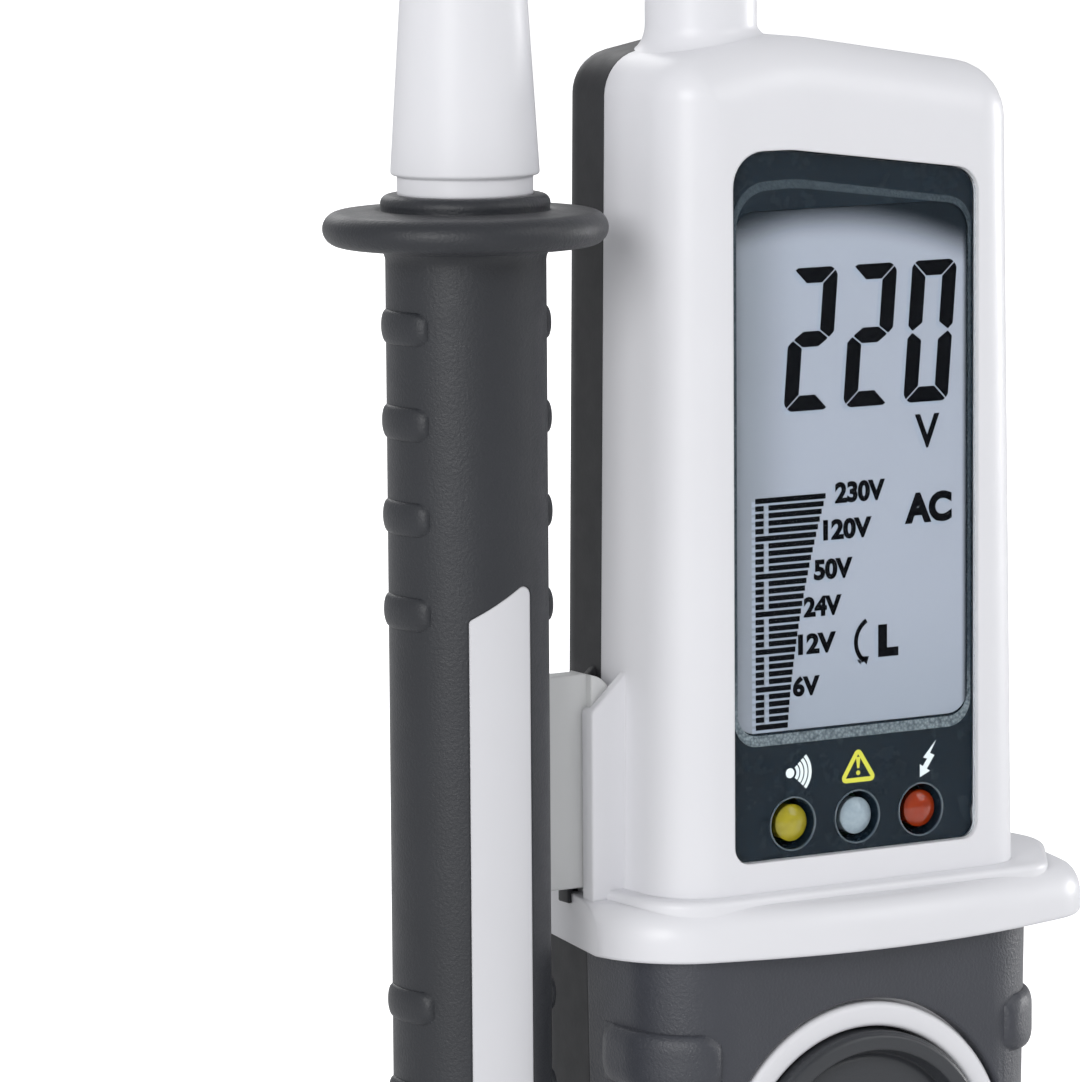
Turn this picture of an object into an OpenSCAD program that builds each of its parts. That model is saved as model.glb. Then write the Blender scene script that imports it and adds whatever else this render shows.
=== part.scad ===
// Two-pole voltage tester: a display unit with a second test probe docked at its left side.
// X runs to the viewer's right, -Y is the display side, and +Z is up along the test tips.
// The origin is the centre of the cable inlet's mouth in the foot of the main grip.

/* [Display head] */
// Half width of the head at its shoulders
shoulder_half_w = 21; // [18:0.1:24]
// How much wider the head is at each side where it meets the flange
head_flare = 1.3; // [0.5:0.1:3]
// Height of the head above the flange at its highest point
head_h = 87.9; // [84:0.5:110]
// Depth of the head in front of the tip's axis
head_front = 12; // [11.5:0.1:15]
// Depth of the head behind the tip's axis
head_rear = 11.5; // [10:0.1:15]
// Radius of the head's front edges
head_front_r = 6; // [3:0.5:8]
// Radius of the head's rear edges
head_rear_r = 4; // [2:0.5:7]
// Wall thickness of the housing
wall = 2.2; // [1.6:0.1:3]
// How far the housing's parting plane lies behind the tip's axis
parting_y = 2.5; // [1:0.1:2.5]

/* [Display] */
// Width of the head's front left at each side of the window
window_side = 6; // [5:0.1:9]
// Height of the head that is left above the window
window_drop = 11.6; // [10:0.1:16]
// Height of the window's lower edge above the flange
window_lift = 4; // [2.5:0.1:6]
// Depth of the lens below the front of the head
lens_depth = 0.3; // [0.2:0.1:0.8]
// Thickness of the lens
lens_t = 0.6; // [0.5:0.1:1.2]
// Height of the lamp panel below the display
lamp_panel_h = 12.6; // [10:0.2:14]
// Diameter of the recess round each indicator lamp
lamp_recess_d = 5.5; // [4.6:0.1:6]
// Diameter of each indicator lamp
lamp_d = 3.8; // [3:0.1:4.2]
// Distance between the indicator lamps
lamp_pitch = 7.8; // [7:0.1:9]

/* [Flange] */
// Thickness of the protective flange
flange_t = 5.5; // [4:0.1:7]
// Reach of the flange to the right
flange_right = 33.2; // [30:0.1:38]
// Reach of the flange beyond the head's left side, at its cut
flange_left_out = 4.8; // [4.3:0.1:5.3]
// Reach of the flange to the front
flange_front = 18.4; // [16:0.1:22]
// Reach of the flange to the rear
flange_rear = 16.5; // [15:0.1:20]

/* [Grip] */
// Height of the grip from its foot to the flange
grip_h = 125; // [120:1:150]
// Half width of the grip
grip_half_w = 24; // [23:0.1:26]
// Half width of the grip at its foot
foot_half_w = 21.3; // [20:0.1:23]
// Depth of the grip in front of the tip's axis
grip_front = 13.5; // [12.8:0.1:15]
// Depth of the grip behind the tip's axis
grip_rear = 13; // [12.8:0.1:15]
// Thickness of the soft grip cover
cover_t = 1.8; // [1.2:0.1:2.2]
// Height of each finger pad
pad_h = 7.4; // [5:0.1:9]
// Distance from one finger pad to the next
pad_pitch = 13.2; // [10:0.1:16]
// Number of finger pads on each side
pad_count = 4; // [1:1:4]

/* [Test button] */
// Outer diameter of the white ring round the button
ring_d = 35.8; // [32:0.1:37]
// Width of the white ring
ring_w = 2.6; // [2:0.1:3.5]
// Distance from the button's centre up to the flange
button_drop = 23.8; // [22:0.1:28]
// How far the button travels
button_travel = 1.2; // [0.6:0.1:1.3]

/* [Fixed test tip] */
// Distance of the tip's axis to the left of the middle
neck_x = 11; // [9:0.1:12]
// Diameter of the neck
neck_d = 11.4; // [10:0.1:12.5]
// Diameter of the neck at its top
neck_top_d = 8.4; // [8:0.1:10]
// Diameter of both metal tips
tip_d = 4; // [3:0.1:4.5]
// Bare length of the metal tips above their caps
tip_bare = 4; // [3:0.1:6]
// Length of each tip cap
cap_h = 14.9; // [10:0.1:20]
// Height of the neck above the head
neck_h = 31.6; // [24:0.2:60]

/* [Second probe] */
// Distance of the second probe's axis from the head's left side
dock_reach = 16.7; // [16.7:0.1:20]
// Diameter of the second probe's soft handle
handle_d = 16.1; // [15:0.1:16.5]
// Diameter of its hard core
core_d = 12; // [11:0.1:12.4]
// Diameter of its guard ring
guard_d = 28.6; // [24:0.1:30]
// Thickness of its guard ring
guard_t = 3.4; // [2.5:0.1:4.5]
// Height of the guard ring's middle above the flange
guard_rise = 69.2; // [66:0.1:74]
// Width of the hard inlay in the handle
inlay_w = 6.6; // [5:0.1:7.5]
// Diameter of the nose at its foot
nose_d = 14.9; // [14:0.1:16]
// Diameter of the nose at its top
nose_top_d = 9.4; // [9:0.1:11]

/* [Dock] */
// Height of the dock key
key_h = 22; // [16:0.5:26]
// Thickness of the dock key's plate
key_t = 2.2; // [1.8:0.1:2.6]
// Play between the dock key and the dock
dock_play = 0.3; // [0.25:0.05:0.4]

/* [Batteries] */
// Diameter of each battery cell
cell_d = 10.5; // [10:0.1:10.5]
// Length of each battery cell
cell_len = 44.5; // [40:0.1:45]

/* [Hidden] */

$fn = 64;
arc_steps = 6;
edge_steps = 5;

// Clearances and small shared sizes
cut = 0.5;
slice_t = 0.02;
move_gap = 0.3;
run_gap = 0.05;
fit_gap = 0.15;

// Levels along Z
foot_wall = 3;
foot_cut = 2;
flange_z = grip_h;
deck_z = flange_z + flange_t;
window_z = deck_z + window_lift;
head_top = deck_z + head_h;
window_h = head_h - window_lift - window_drop;
button_z = flange_z - button_drop;
neck_top = head_top + neck_h;
cap_z = neck_top + move_gap;
cap_top = cap_z + cap_h;
tip_top = cap_top + tip_bare;
reach = 2 * tip_top;

// Widths that follow the head's
head_half_w = shoulder_half_w + head_flare;
window_w = 2 * (shoulder_half_w - window_side);
flange_left = head_half_w + flange_left_out;
probe_x = head_half_w + dock_reach;

// Outline of the head seen from the front: corners as x, z and radius
shoulder_drop = 2.7;
right_drop = 4.4;
peak_x = -7;
peak_r = 30;
shoulder_r = 4.6;
right_shoulder_r = 6;
head_corners = [[-head_half_w, flange_z - head_front_r, 0],
                [head_half_w, flange_z - head_front_r, 0],
                [shoulder_half_w, head_top - right_drop, right_shoulder_r],
                [peak_x, head_top, peak_r],
                [-shoulder_half_w, head_top - shoulder_drop, shoulder_r]];

// Plinth that the head stands on
plinth_h = 0.9;
plinth_w = 1.2;

// Outline of the window: corners as x, z and radius
window_foot_r = 1.8;
window_left_r = 3.6;
window_right_r = 2.8;
window_peak_r = 15;
window_fall = 2.9;
window_peak_share = 0.267;
window_peak_x = -window_peak_share * window_w;
window_corners = [[-window_w / 2, window_z, window_foot_r],
                  [window_w / 2, window_z, window_foot_r],
                  [window_w / 2, window_z + window_h - window_fall, window_right_r],
                  [window_peak_x, window_z + window_h, window_peak_r],
                  [-window_w / 2, window_z + window_h, window_left_r]];

// Outline of the flange seen from above: corners as x, y and radius
flange_edge_r = 2.2;
flange_foot_r = 0.8;
flange_corner_r = 8.5;
flange_side_r = 30;
flange_crown_r = 80;
flange_cut_r = 0.9;
flange_rear_left = 22.6;
flange_rear_r = 3;
flange_cut_y = -5.1;
flange_crown = 3;
flange_side_crown = 2;
flange_side_in = 3;
flange_side_y = 4;
flange_corners = [[-flange_left, flange_cut_y, flange_cut_r],
                  [-flange_left, flange_crown - flange_front, flange_corner_r],
                  [0, -flange_front, flange_crown_r],
                  [flange_right - flange_side_in, flange_side_crown - flange_front, flange_corner_r],
                  [flange_right, flange_side_y, flange_side_r],
                  [flange_right - flange_side_in, flange_rear, flange_corner_r],
                  [-flange_rear_left, flange_rear, flange_rear_r]];

// Outline of the grip seen from the front: corners as x, z and radius
grip_front_r = 8;
grip_rear_r = 5;
foot_r = 5;
grip_corners = [[-foot_half_w, -foot_cut, foot_r],
                [foot_half_w, -foot_cut, foot_r],
                [grip_half_w, deck_z + grip_front_r, 0],
                [-grip_half_w, deck_z + grip_front_r, 0]];
core_share = 0.6;
core_wall = core_share * wall;
core_inset = cover_t + core_wall;
core_front = grip_front - core_inset;

// Finger pads round the front corners of the grip
pad_proud = 0.8;
pad_inner_x = 18.2;
pad_drop = 9.6;
pad_first_z = flange_z - pad_drop;

// White ring and the button inside it
ring_r = ring_d / 2;
ring_bore_r = ring_r - ring_w;
ring_proud = 0.6;
ring_edge = 0.7;
button_r = ring_bore_r - move_gap;
button_proud = 0.6;
button_face = grip_front + button_proud;
button_rim = 1.3;
button_dish_r = 12.6;
button_dish = 1.1;
button_dome = 0.5;
button_shell = 2;
button_skirt_t = 1.8;
button_lip_w = 1.3;
button_lip_t = 1;
stem_r = 2.2;

// Board, its switch and what stands on it
board_front = 3;
board_t = 1.6;
board_side = 7;
board_half_w = shoulder_half_w - board_side;
board_foot_drop = 5.5;
board_z = button_z - board_foot_drop;
board_head_gap = 15.4;
board_top = head_top - board_head_gap;
board_rear = -board_front + board_t;
switch_w = 6.2;
switch_h = 3.2;
plunger_r = 1.7;
plunger_out = 1.2;
plunger_in = 1.4;
lcd_margin = 0.6;
lcd_lap = 0.5;
lcd_sink = 0.15;
lcd_lap_t = 0.5;
lcd_top_band = 3.2;
lcd_corner_r = 2.5;
backlight_inset = 0.8;
lamp_base_r = 2.4;
lamp_base_t = 1;
lamp_rise = 3.7;
lamp_z = window_z + lamp_rise;
lamp_sink = 0.6;
lamp_tip = head_front - lens_depth - lens_t - lamp_sink;
buzzer_r = 6;
buzzer_h = 6;
buzzer_share = 0.44;
buzzer_z = window_z + buzzer_share * (board_top - window_z);
buzzer_hole_r = 1;

// Bezel behind the lens
bezel_t = 2.6;
bezel_lip = 1.2;
bezel_seat = 0.6;
bezel_front = head_front - lens_depth - lens_t;
bezel_rear = bezel_front - bezel_t;
inner_front = head_front - wall;
lcd_z = window_z + lamp_panel_h + lcd_lap;
lcd_top = window_z + window_h - window_fall - lcd_top_band;

// Posts and screws that join the two halves: x and z of each on the right side
post_r = 2.6;
post_root = 0.3;
post_top_in = 3;
post_top_x = shoulder_half_w - post_top_in;
post_top_drop = 21.4;
post_low_in = 4.9;
post_low_x = head_half_w - post_low_in;
post_low_rise = 2.5;
post_foot_x = 12.5;
post_foot_z = 9.5;
post_pairs = [[post_top_x, head_top - post_top_drop], [post_low_x, window_z + post_low_rise],
              [post_foot_x, post_foot_z]];
screw_r = 1;
screw_head_r = 2;
screw_head_h = 1.6;
screw_len = 12;
screw_sink = 3;
screw_sink_r = 2.3;
board_post_in = 3.5;
board_post_x = board_half_w - board_post_in;
board_post_drop = 13.5;
board_post_rise = 11;
board_post_foot = 8;
board_posts = [[board_post_x, board_top - board_post_drop], [board_post_x, window_z + board_post_rise],
               [board_post_x, board_z + board_post_foot]];
board_post_r = 2;

// Neck, its socket in the head, and the metal tip
neck_foot_gap = 3;
neck_foot = board_top + neck_foot_gap;
neck_fillet = 1.7;
neck_sink = 1.6;
neck_base = head_top - neck_sink;
neck_taper = 14.5;
neck_waist = neck_top - neck_taper;
neck_shoulder_r = 1.2;
socket_r = neck_d / 2 + wall;
socket_floor = 2;
socket_h = 10.5;
tip_r = tip_d / 2;
tip_shaft_in = 0.2;
tip_shaft_r = tip_r - tip_shaft_in;
tip_foot_gap = 0.6;
tip_foot = board_top + tip_foot_gap;
tip_groove = 0.4;
tip_point = 0.6;
contact_w = 3;
contact_t = 0.5;
contact_len = 7;
cap_foot_r = 4;
cap_top_r = 3.3;
cap_edge = 0.6;

// Second probe
handle_r = handle_d / 2;
core_r = core_d / 2;
core_bore_r = 3.2;
guard_z = deck_z + guard_rise;
guard_r = guard_d / 2;
collar_r = 8.25;
collar_h = 2.4;
collar_top = guard_z + guard_t / 2 + collar_h;
nose_collar_h = 1.5;
nose_z = collar_top + nose_collar_h;
nose_collar_r = 6.8;
nose_edge = 0.6;
nose_spigot = 9;
foot_edge = 2;
bump_t = 4;
bump_proud = 0.5;
bump_half_angle = 32;
bump_pitch = 9.5;
bump_drop = 9.9;
bump_top = guard_z - bump_drop;
bump_rows = 4;
low_bump_drop = 3.5;
low_bump_top = flange_z - low_bump_drop;
low_bump_rows = 9;
inlay_rise = 34.6;
inlay_top = deck_z + inlay_rise;
inlay_slant = 3.9;
inlay_foot = 48;
inlay_depth = 0.1;
lead_r = 1.2;
probe_tip_in = 12;
probe_tip_foot = neck_top - probe_tip_in;

// Dock: the key on the second probe and the two lips on the housing
key_y = 1.2;
key_z = deck_z + plinth_h + fit_gap;
key_head_t = 4;
key_head_w = 2.5;
key_edge = 3;
key_foot_r = 0.8;
lip_out = 4;
lip_reach = head_half_w + lip_out;
lip_hook_w = 0.9;
lip_t = 1.1;
lip_h = 22.6;
lip_top = deck_z + lip_h;
lip_slant = 3.6;
lip_root = head_half_w - wall / 2;
key_tip_x = -head_half_w - dock_play;
key_head_x = -lip_reach + lip_hook_w + dock_play;

// Batteries, their tray and the door
cell_x = 5.5;
cell_y = 4;
tray_half_w = 12;
tray_wall = 1.5;
tray_y = -5;
tray_gap = 0.15;
tray_z = 20;
spring_room = 3.2;
bay_len = cell_len + 2 * spring_room;
tray_h = bay_len + 2 * tray_wall;
contact_plate = 4.4;
cell_nub_r = 1.9;
cell_nub_h = 0.8;
leg_w = 1.6;
door_half_w = 13.5;
door_foot_lap = 3;
door_head_lap = 4.1;
door_z = tray_z - door_foot_lap;
door_h = tray_h + door_foot_lap + door_head_lap;
door_t = 2;
door_r = 3;
rim_w = 2;
rim_t = 1.3;
ledge_w = 1.5;
door_screw_drop = 4.2;
door_screw_z = door_z + door_h - door_screw_drop;
door_screw_r = 1.45;
door_screw_head_r = 2.6;
door_screw_head_h = 0.9;
door_screw_len = 7;
door_boss_r = 3.4;
door_boss_len = 5;
slot_w = 0.8;
slot_depth = 0.5;
pull_grooves = 5;
pull_pitch = 2;
pull_w = 14;
pull_depth = 0.5;
pull_rise = 5;
pull_z = door_z + pull_rise;

// Cable inlets
inlet_r = 2.6;
inlet_len = 12;
grommet_r = 4.4;
grommet_flange_r = 5.6;
grommet_flange_t = 1.6;
probe_inlet_r = 2.2;
probe_inlet_len = 10;

white = "#e6e6ea";
dark = "#3f4147";
soft = "#4a4d55";
black = "#191b1f";
grey = "#b3b3b3";
metal = "#c9ccd1";

// Outline helpers: a corner is its two coordinates and its radius
function flat(c) = [c[0], c[1]];
function unit(v) = v / norm(v);
function half_angle(a, b, c) = acos(unit(a - b) * unit(c - b)) / 2;
function inset_point(a, b, c, d) =
    b + unit(unit(a - b) + unit(c - b)) * d / sin(half_angle(a, b, c));
function turn(a) = a > 180 ? a - 360 : a < -180 ? a + 360 : a;
function corner_arc(a, b, c, r) = let(
        h = half_angle(a, b, c),
        m = b + unit(unit(a - b) + unit(c - b)) * r / sin(h),
        p = b + unit(a - b) * r / tan(h) - m,
        q = b + unit(c - b) * r / tan(h) - m,
        start = atan2(p[1], p[0]),
        sweep = turn(atan2(q[1], q[0]) - start))
    [for (k = [0:arc_steps]) m + r * [cos(start + sweep * k / arc_steps), sin(start + sweep * k / arc_steps)]];
function inset_corners(corners, d) = let(n = len(corners))
    [for (i = [0:n - 1]) inset_point(flat(corners[(i + n - 1) % n]), flat(corners[i]),
                                     flat(corners[(i + 1) % n]), d)];
function rounded(corners, d = 0) = let(n = len(corners), v = inset_corners(corners, d))
    [for (i = [0:n - 1])
        each corners[i][2] > d ? corner_arc(v[(i + n - 1) % n], v[i], v[(i + 1) % n], corners[i][2] - d)
                               : [v[i]]];
function inset_at(r, k) = r * (1 - sin(90 * k / edge_steps));
function depth_at(r, k) = r * (1 - cos(90 * k / edge_steps));

// A plate whose outline lies in the XZ plane, from y0 back to y1
module upright(points, y0, y1) {
    translate([0, y1, 0]) rotate([90, 0, 0]) linear_extrude(y1 - y0) polygon(points);
}

// A pin or hole along Y at x and z, from y0 back to y1
module rod_y(x, z, r, y0, y1) {
    translate([x, y1, z]) rotate([90, 0, 0]) cylinder(r = r, h = y1 - y0);
}

// A revolved form about the Y axis through x and z: the profile's second coordinate points to the front
module turned_y(x, z) {
    translate([x, 0, z]) rotate([90, 0, 0]) rotate_extrude() children();
}

// A convex moulded block: an outline seen from the front, with its front and rear edges rounded over
module moulded(corners, front, rear, front_r, rear_r, d) {
    hull() {
        for (k = [0:edge_steps]) {
            upright(rounded(corners, d + inset_at(front_r - d, k)),
                    d - front + depth_at(front_r - d, k), d - front + depth_at(front_r - d, k) + slice_t);
            upright(rounded(corners, d + inset_at(rear_r - d, k)),
                    rear - d - depth_at(rear_r - d, k) - slice_t, rear - d - depth_at(rear_r - d, k));
        }
    }
}

module above(z) {
    intersection() {
        children();
        translate([-reach, -reach, z]) cube([2 * reach, 2 * reach, reach]);
    }
}

module below(z) {
    intersection() {
        children();
        translate([-reach, -reach, z - reach]) cube([2 * reach, 2 * reach, reach]);
    }
}

module front_half() {
    intersection() {
        children();
        translate([-reach, parting_y - reach, -reach]) cube([2 * reach, reach, 2 * reach]);
    }
}

module rear_half() {
    intersection() {
        children();
        translate([-reach, parting_y, -reach]) cube([2 * reach, reach, 2 * reach]);
    }
}

module head_block(d) {
    moulded(head_corners, head_front, head_rear, head_front_r, head_rear_r, d);
}

module grip_block(d) {
    moulded(grip_corners, grip_front, grip_rear, grip_front_r, grip_rear_r, d);
}

module flange_block() {
    hull() {
        for (k = [0:edge_steps]) {
            translate([0, 0, deck_z - depth_at(flange_edge_r, k) - slice_t])
                linear_extrude(slice_t) polygon(rounded(flange_corners, inset_at(flange_edge_r, k)));
            translate([0, 0, flange_z + depth_at(flange_foot_r, k)])
                linear_extrude(slice_t) polygon(rounded(flange_corners, inset_at(flange_foot_r, k)));
        }
    }
}

module plinth() {
    half = head_half_w + plinth_w;
    translate([0, 0, deck_z - plinth_h])
        linear_extrude(2 * plinth_h)
            polygon(rounded([[-half, -head_front - plinth_w, head_front_r + plinth_w],
                             [half, -head_front - plinth_w, head_front_r + plinth_w],
                             [half, head_rear + plinth_w, head_rear_r + plinth_w],
                             [-half, head_rear + plinth_w, head_rear_r + plinth_w]]));
}

// The neck with its filleted base: the same form is cut from the shells that hold it
module neck_form() {
    translate([-neck_x, 0, 0]) rotate_extrude() {
        polygon([[0, neck_foot], [neck_d / 2, neck_foot], [neck_d / 2, neck_waist],
                 each [for (k = [0:arc_steps])
                     [neck_top_d / 2 - neck_shoulder_r * (1 - cos(90 * k / arc_steps)),
                      neck_top - neck_shoulder_r * (1 - sin(90 * k / arc_steps))]],
                 [0, neck_top]]);
        polygon([[0, neck_base], [neck_d / 2 + neck_fillet, neck_base],
                 each [for (k = [0:arc_steps])
                     [neck_d / 2 + neck_fillet * (1 - sin(90 * k / arc_steps)),
                      neck_base + neck_fillet * (2 - cos(90 * k / arc_steps))]],
                 [0, neck_base + 2 * neck_fillet]]);
    }
}

// Lip of the dock, at a distance from the key's mid plane
module dock_lip(side) {
    hook = key_t / 2 + dock_play;
    inner = key_head_t / 2 + dock_play;
    intersection() {
        translate([0, key_y, flange_z + flange_foot_r + flange_edge_r])
            linear_extrude(lip_top - flange_z)
                polygon([[-lip_root, side * (inner + lip_t)], [-lip_reach, side * (inner + lip_t)],
                         [-lip_reach, side * hook], [lip_hook_w - lip_reach, side * hook],
                         [lip_hook_w - lip_reach, side * inner], [-lip_root, side * inner]]);
        upright(rounded([[-lip_reach, flange_z, 0], [-lip_root, flange_z, 0],
                         [-lip_root, lip_top, 0],
                         [-head_half_w, lip_top, lip_hook_w],
                         [-lip_reach, lip_top - lip_slant, lip_hook_w]]),
                -head_front, head_rear);
    }
}

// Posts that the case screws join, from y0 back to y1
module post_set(r, y0, y1) {
    for (p = post_pairs) {
        for (side = [-1, 1]) {
            rod_y(side * p[0], p[1], r, y0, y1);
        }
    }
}

// The two pairs of posts in the head are row 2, the pair in the foot is row 3
module post_rows(row, r, y0, y1) {
    for (p = row == 2 ? [post_pairs[0], post_pairs[1]] : [post_pairs[2]]) {
        for (side = [-1, 1]) {
            rod_y(side * p[0], p[1], r, y0, y1);
        }
    }
}

module inner_space() {
    head_block(wall);
    above(foot_wall) below(deck_z) grip_block(core_inset);
}

// What both halves share before they are parted
module housing_block() {
    above(flange_z + flange_foot_r) head_block(0);
    flange_block();
    plinth();
}

module socket_block() {
    translate([-neck_x, 0, neck_foot - socket_floor]) cylinder(r = socket_r, h = socket_h);
}

module tip_hole() {
    translate([-neck_x, 0, neck_foot - socket_floor - cut])
        cylinder(r = tip_r + run_gap, h = socket_floor + 2 * cut);
}

module grommet_hole() {
    translate([0, 0, -cut]) cylinder(r = grommet_r, h = foot_wall + 2 * cut);
}

module ring_collar() {
    turned_y(0, button_z)
        polygon([[ring_bore_r, core_front], [ring_r, core_front],
                 [ring_r, grip_front + ring_proud - ring_edge],
                 [ring_r - ring_edge, grip_front + ring_proud],
                 [ring_bore_r + ring_edge / 2, grip_front + ring_proud],
                 [ring_bore_r, grip_front + ring_proud - ring_edge / 2]]);
}

module front_shell() {
    color(white) difference() {
        union() {
            front_half() difference() {
                union() {
                    housing_block();
                    above(0) below(deck_z) grip_block(cover_t);
                }
                inner_space();
                rod_y(0, button_z, ring_r - ring_w / 2, -grip_front - cut, -cover_t);
            }
            front_half() socket_block();
            post_rows(2, post_r, -inner_front - post_root, parting_y);
            post_rows(3, post_r, -core_front - post_root, parting_y);
            dock_lip(-1);
            ring_collar();
        }
        upright(rounded(window_corners), -head_front - cut, -inner_front + cut);
        neck_form();
        tip_hole();
        grommet_hole();
        post_set(screw_r + run_gap, parting_y - screw_len / 2 - cut, parting_y + cut);
    }
}

module door_outline(y0, y1, grow) {
    upright(rounded([[-door_half_w, door_z, door_r], [door_half_w, door_z, door_r],
                     [door_half_w, door_z + door_h, door_r], [-door_half_w, door_z + door_h, door_r]], -grow),
            y0, y1);
}

module screw_wells(row, rear) {
    post_rows(row, screw_sink_r, rear - screw_sink, rear + cut);
    post_rows(row, screw_r + run_gap, parting_y - cut, rear);
}

module rear_shell() {
    rim_front = grip_rear - door_t - move_gap - rim_t;
    color(dark) difference() {
        union() {
            rear_half() difference() {
                union() {
                    housing_block();
                    above(0) below(deck_z) grip_block(0);
                }
                inner_space();
            }
            rear_half() socket_block();
            post_rows(2, post_r, parting_y, head_rear - wall + post_root);
            post_rows(3, post_r, parting_y, grip_rear - core_inset + post_root);
            for (p = board_posts) {
                for (side = [-1, 1]) {
                    rod_y(side * p[0], p[1], board_post_r, board_rear,
                          (p[1] > deck_z ? head_rear - wall : grip_rear - core_inset) + post_root);
                }
            }
            dock_lip(1);
            door_outline(rim_front, grip_rear - core_inset + cut, rim_w);
            rod_y(0, door_screw_z, door_boss_r, rim_front - door_boss_len, rim_front + rim_t);
        }
        door_outline(grip_rear - door_t - move_gap, grip_rear + cut, move_gap);
        intersection() {
            door_outline(rim_front - cut, grip_rear, -ledge_w);
            below(door_z + door_h - 2 * door_screw_drop) door_outline(rim_front - cut, grip_rear, 0);
        }
        rod_y(0, door_screw_z, door_screw_r + run_gap, grip_rear - door_screw_len - move_gap, grip_rear);
        screw_wells(2, head_rear);
        screw_wells(3, grip_rear);
        neck_form();
        tip_hole();
        grommet_hole();
    }
}

// One finger pad: it wraps a front corner of the grip from the front round to the side
module grip_pad(side, z) {
    front = -grip_front - pad_proud;
    outer = side * (foot_half_w + (grip_half_w - foot_half_w) * z / flange_z + pad_proud);
    translate([0, 0, z - pad_h / 2]) linear_extrude(pad_h) intersection() {
        polygon(rounded([[0, front, 0], [outer, front, grip_front_r + pad_proud],
                         [outer, -pad_proud, pad_proud / 2], [0, -pad_proud, 0]]));
        translate([side > 0 ? pad_inner_x : -pad_inner_x - grip_half_w, -2 * grip_front])
            square([grip_half_w, 2 * grip_front]);
    }
}

module grip_cover() {
    color(soft) difference() {
        front_half() above(0) below(flange_z) union() {
            grip_block(0);
            for (k = [0:pad_count - 1]) {
                for (side = [-1, 1]) {
                    grip_pad(side, pad_first_z - k * pad_pitch);
                }
            }
        }
        grip_block(cover_t);
        rod_y(0, button_z, ring_r, -grip_front - 2 * cut, -inner_front + wall);
        grommet_hole();
    }
}

module probe_neck() {
    color(white) difference() {
        neck_form();
        translate([-neck_x, 0, neck_foot - cut])
            cylinder(r = tip_shaft_r, h = neck_top - neck_foot + 2 * cut);
    }
}

// A metal test tip: a shaft from z0 up, and the full diameter where the tip is bare above its cap
module test_tip(x, z0) {
    bare_z = cap_top + tip_groove;
    translate([-x, 0, 0]) rotate_extrude()
        polygon([[0, z0], [tip_shaft_r, z0], [tip_shaft_r, bare_z], [tip_r, bare_z],
                 [tip_r, tip_top - tip_point], [tip_r - tip_point, tip_top], [0, tip_top]]);
}

module main_tip() {
    color(metal) test_tip(neck_x, tip_foot);
}

module tip_contact() {
    color("#c9a24a") {
        translate([-neck_x - contact_w / 2, board_rear, board_top - contact_len])
            cube([contact_w, contact_t, contact_len + tip_foot - board_top]);
        translate([-neck_x - contact_w / 2, board_rear, tip_foot - contact_t])
            cube([contact_w, tip_r - board_rear, contact_t]);
    }
}

// Push-on cap of a test tip
module tip_cap(x) {
    translate([-x, 0, 0]) rotate_extrude()
        polygon([[tip_r + run_gap, cap_z], [cap_foot_r - cap_edge / 2, cap_z],
                 [cap_foot_r, cap_z + cap_edge / 2], [cap_top_r, cap_top - cap_edge],
                 [cap_top_r - cap_edge, cap_top], [tip_r + run_gap, cap_top]]);
}

module main_tip_cap() {
    color(dark) tip_cap(neck_x);
}

module display_lens() {
    color([0.75, 0.8, 0.86, 0.3])
        upright(rounded(window_corners, fit_gap), lens_depth - head_front, lens_depth + lens_t - head_front);
}

module lcd_outline(y0, y1, grow) {
    half = window_w / 2 - lcd_margin;
    upright(rounded([[-half, lcd_z, lcd_corner_r], [half, lcd_z, lcd_corner_r],
                     [half, lcd_top, lcd_corner_r], [-half, lcd_top, lcd_corner_r]], -grow), y0, y1);
}

module display_bezel() {
    color("#14181c") difference() {
        union() {
            upright(rounded(window_corners, fit_gap), -bezel_front, bezel_seat - inner_front);
            upright(rounded(window_corners, -bezel_lip), bezel_seat - inner_front, -bezel_rear);
        }
        lcd_outline(-bezel_front - cut, -bezel_rear + cut, 0);
        for (k = [-1:1]) {
            rod_y(k * lamp_pitch, lamp_z, lamp_recess_d / 2, -bezel_front - cut, -bezel_rear + cut);
        }
        post_set(post_r + fit_gap, -inner_front - cut, -bezel_rear + cut);
    }
}

module lcd_panel() {
    color("#a6adbb") {
        lcd_outline(lcd_sink - bezel_front, -bezel_rear, -run_gap);
        lcd_outline(-bezel_rear, lcd_lap_t - bezel_rear, lcd_lap);
    }
}

module backlight() {
    color(white) lcd_outline(lcd_lap_t - bezel_rear, -board_front, -backlight_inset);
}

module main_board() {
    color("#2f6b46") translate([-board_half_w, -board_front, board_z])
        cube([2 * board_half_w, board_t, board_top - board_z]);
}

module lamp(place) {
    turned_y(place * lamp_pitch, lamp_z)
        polygon([[0, board_front], [lamp_base_r, board_front], [lamp_base_r, board_front + lamp_base_t],
                 [lamp_d / 2, board_front + lamp_base_t],
                 each [for (k = [0:arc_steps]) [lamp_d / 2 * cos(90 * k / arc_steps),
                                                 lamp_tip - lamp_d / 2 * (1 - sin(90 * k / arc_steps))]]]);
}

module lamp_yellow() {
    color("#c9b535") lamp(-1);
}

module lamp_clear() {
    color("#b9c6cd") lamp(0);
}

module lamp_red() {
    color("#c4532c") lamp(1);
}

module buzzer() {
    color(black) difference() {
        rod_y(0, buzzer_z, buzzer_r, board_rear, board_rear + buzzer_h);
        rod_y(0, buzzer_z, buzzer_hole_r, board_rear + buzzer_h / 2, board_rear + buzzer_h + cut);
    }
}

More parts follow.
